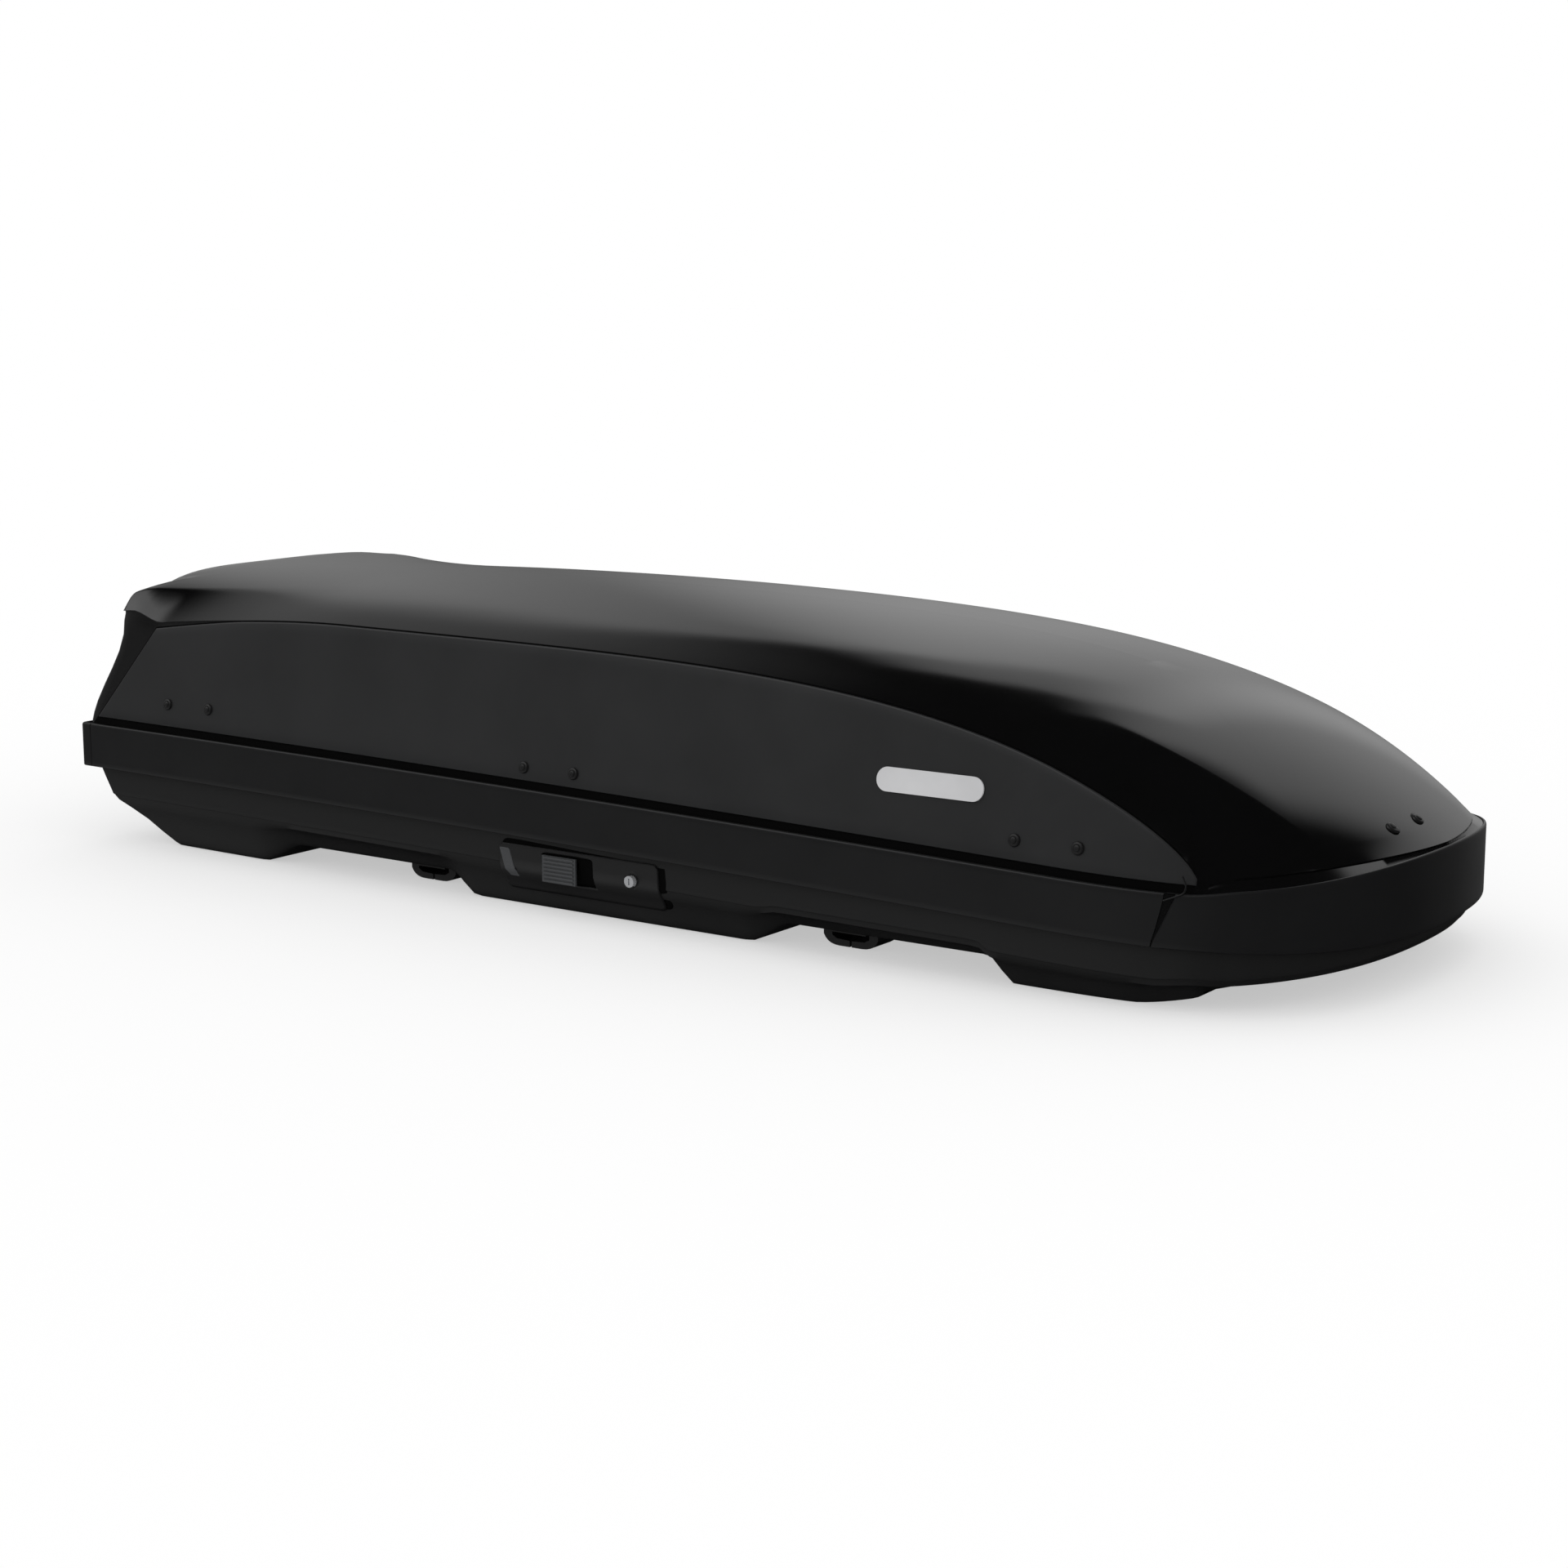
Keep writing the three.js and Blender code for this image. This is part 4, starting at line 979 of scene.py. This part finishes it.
for name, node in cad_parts.items():
    give(node, cad_slot(name))
    width = next((size for start, size in SOFT_EDGES.items() if name.startswith(start)), 0.5)
    if name != "rim_seal":
        soft_edge(node, width)

shell = lid_shell()
finished(shell, "lid", "lid_gloss", ["lid_shell"])
give(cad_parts["nose_plate"], "steel", "dark_plastic")

panel = side_panel()
panel_left = mirror_copy(panel, "panel_skin_left")
finished(panel, "lid", "panel_satin", ["side_panel_right"])
finished(panel_left, "lid", "panel_satin", ["side_panel_left"])

# Near-black sheets behind the side panels: painted shade in the gap round each panel.
shade_sheet = panel_shade_sheet()
shade_sheet_left = mirror_copy(shade_sheet, "panel_shade_sheet_left")
finished(shade_sheet, "lid", "seal_rubber", look="painted_gap_shade")
finished(shade_sheet_left, "lid", "seal_rubber", look="painted_gap_shade")

band = side_band()
band_left = mirror_copy(band, "band_skin_left")
finished(band, "lid", "trim_matte", ["rim_trim_right"])
finished(band_left, "lid", "trim_matte", ["rim_trim_left"])
finished(nose_band(), "lid", "trim_matte", ["nose_trim"])
finished(rear_band(), "lid", "trim_matte", ["rear_trim"])

tub_piece = tub_skin()
carve(tub_piece, *tub_tools())
finished(tub_piece, "base", "tub_matte", ["tub"])
finished(latch_plate(), "base", "dark_plastic", ["latch_plate"])
# Near-black plate round the locking panel: painted shade in its gap.
finished(latch_gap_shade(), "base", "seal_rubber", look="painted_gap_shade")
finished(latch_insert(), "base", "lock_chrome", look="grip_grey")
finished(nose_rivets(shell), "lid", "dark_plastic")
# Near-black strip behind the band slit: painted shade.
finished(seam_slit_shade(), "base", "seal_rubber", look="painted_gap_shade")
finished(seam_lip(), "lid", "trim_matte")

for side, label in ((-1, "right"), (1, "left")):
    finished(station_rivets(side, label), "lid", "dark_plastic")


# ------------------------------------------------------------ stage, light and camera
def floor_disc():
    sides = 64
    radius = 60000
    verts = [(radius * math.cos(2 * math.pi * i / sides), radius * math.sin(2 * math.pi * i / sides), -0.3)
             for i in range(sides)]
    floor = build("floor", verts, [tuple(range(sides))])
    pale = bpy.data.materials.new("pale_floor")
    pale.use_nodes = True
    shader = pale.node_tree.nodes["Principled BSDF"]
    shader.inputs["Base Color"].default_value = (0.5, 0.5, 0.5, 1)
    shader.inputs["Roughness"].default_value = 0.9
    shader.inputs["Specular IOR Level"].default_value = 0.0
    shader.inputs["Emission Color"].default_value = (1, 1, 1, 1)
    shader.inputs["Emission Strength"].default_value = 0.5
    floor.data.materials.append(pale)
    floor.visible_glossy = False


# Soft lights of the studio: compass direction (x, y), half angles across, band of heights, strength.
SOFT_LIGHTS = (
    ((0.0, 1.0), (6, 26), (-0.5, 0.75, 0.76, 0.82), 0.9),
    ((-0.407, 0.914), (6, 16), (-0.5, 0.75, 0.655, 0.70), 0.55),
    ((-0.588, 0.809), (8, 17), (-0.5, 0.75, 0.52, 0.59), 0.45),
    ((-0.996, 0.087), (30, 47), (-0.12, 0.0, 0.55, 0.85), 0.27),
    ((-0.57, -0.82), (15, 60), (-0.25, 0.05, 0.2, 0.5), 0.15),
    ((-0.57, -0.82), (15, 60), (0.42, 0.5, 0.8, 0.92), 1.5),
    ((-0.57, -0.82), (20, 70), (-0.75, -0.6, -0.35, -0.2), 0.5),
)


def studio_world():
    world = bpy.data.worlds.new("studio")
    bpy.context.scene.world = world
    world.use_nodes = True
    tree = world.node_tree
    tree.nodes.clear()
    n = Nodes(tree)
    place = n.add("ShaderNodeTexCoord").outputs["Generated"]
    parts = n.add("ShaderNodeSeparateXYZ", {0: place}).outputs
    flat = n.add("ShaderNodeCombineXYZ", {0: parts[0], 1: parts[1]}).outputs[0]
    compass = n.add("ShaderNodeVectorMath", {0: flat}, operation="NORMALIZE").outputs[0]
    total = 0.0
    for (x, y), (inner, outer), (low0, low1, high1, high0), strength in SOFT_LIGHTS:
        facing = n.add("ShaderNodeVectorMath", {0: compass, 1: Vector((x, y, 0)).normalized()},
                       operation="DOT_PRODUCT").outputs["Value"]
        across = n.span(facing, math.cos(math.radians(outer)), math.cos(math.radians(inner)))
        rise = n.span(parts[2], low0, low1)
        fall = n.span(parts[2], high1, high0, 1.0, 0.0)
        level = n.math("MULTIPLY", n.math("MULTIPLY", rise, fall), n.math("MULTIPLY", across, strength))
        total = n.math("ADD", level, total)
    seen = n.add("ShaderNodeBackground", {"Color": (1, 1, 1, 1), "Strength": 1.0}).outputs[0]
    mirrored = n.add("ShaderNodeBackground", {"Color": (1, 1, 1, 1), "Strength": total}).outputs[0]
    glossy = n.add("ShaderNodeLightPath").outputs["Is Glossy Ray"]
    mix = n.add("ShaderNodeMixShader", {0: glossy, 1: seen, 2: mirrored}).outputs[0]
    out = n.add("ShaderNodeOutputWorld")
    tree.links.new(mix, out.inputs[0])


CAMERA_PLACE = (2.2311, -3.1520, 0.8428)
CAMERA_TURN = 34.93
CAMERA_DOWN = 10.36
CAMERA_LENS = 64.557


def studio_camera():
    data = bpy.data.cameras.new("camera")
    data.sensor_width = 36
    data.lens = CAMERA_LENS
    data.clip_end = 200
    camera = bpy.data.objects.new("camera", data)
    camera.location = CAMERA_PLACE
    camera.rotation_euler = (math.radians(90 - CAMERA_DOWN), 0, math.radians(CAMERA_TURN))
    bpy.context.scene.collection.objects.link(camera)
    bpy.context.scene.camera = camera


floor_disc()
studio_world()
studio_camera()
bpy.context.scene.view_settings.view_transform = "Standard"
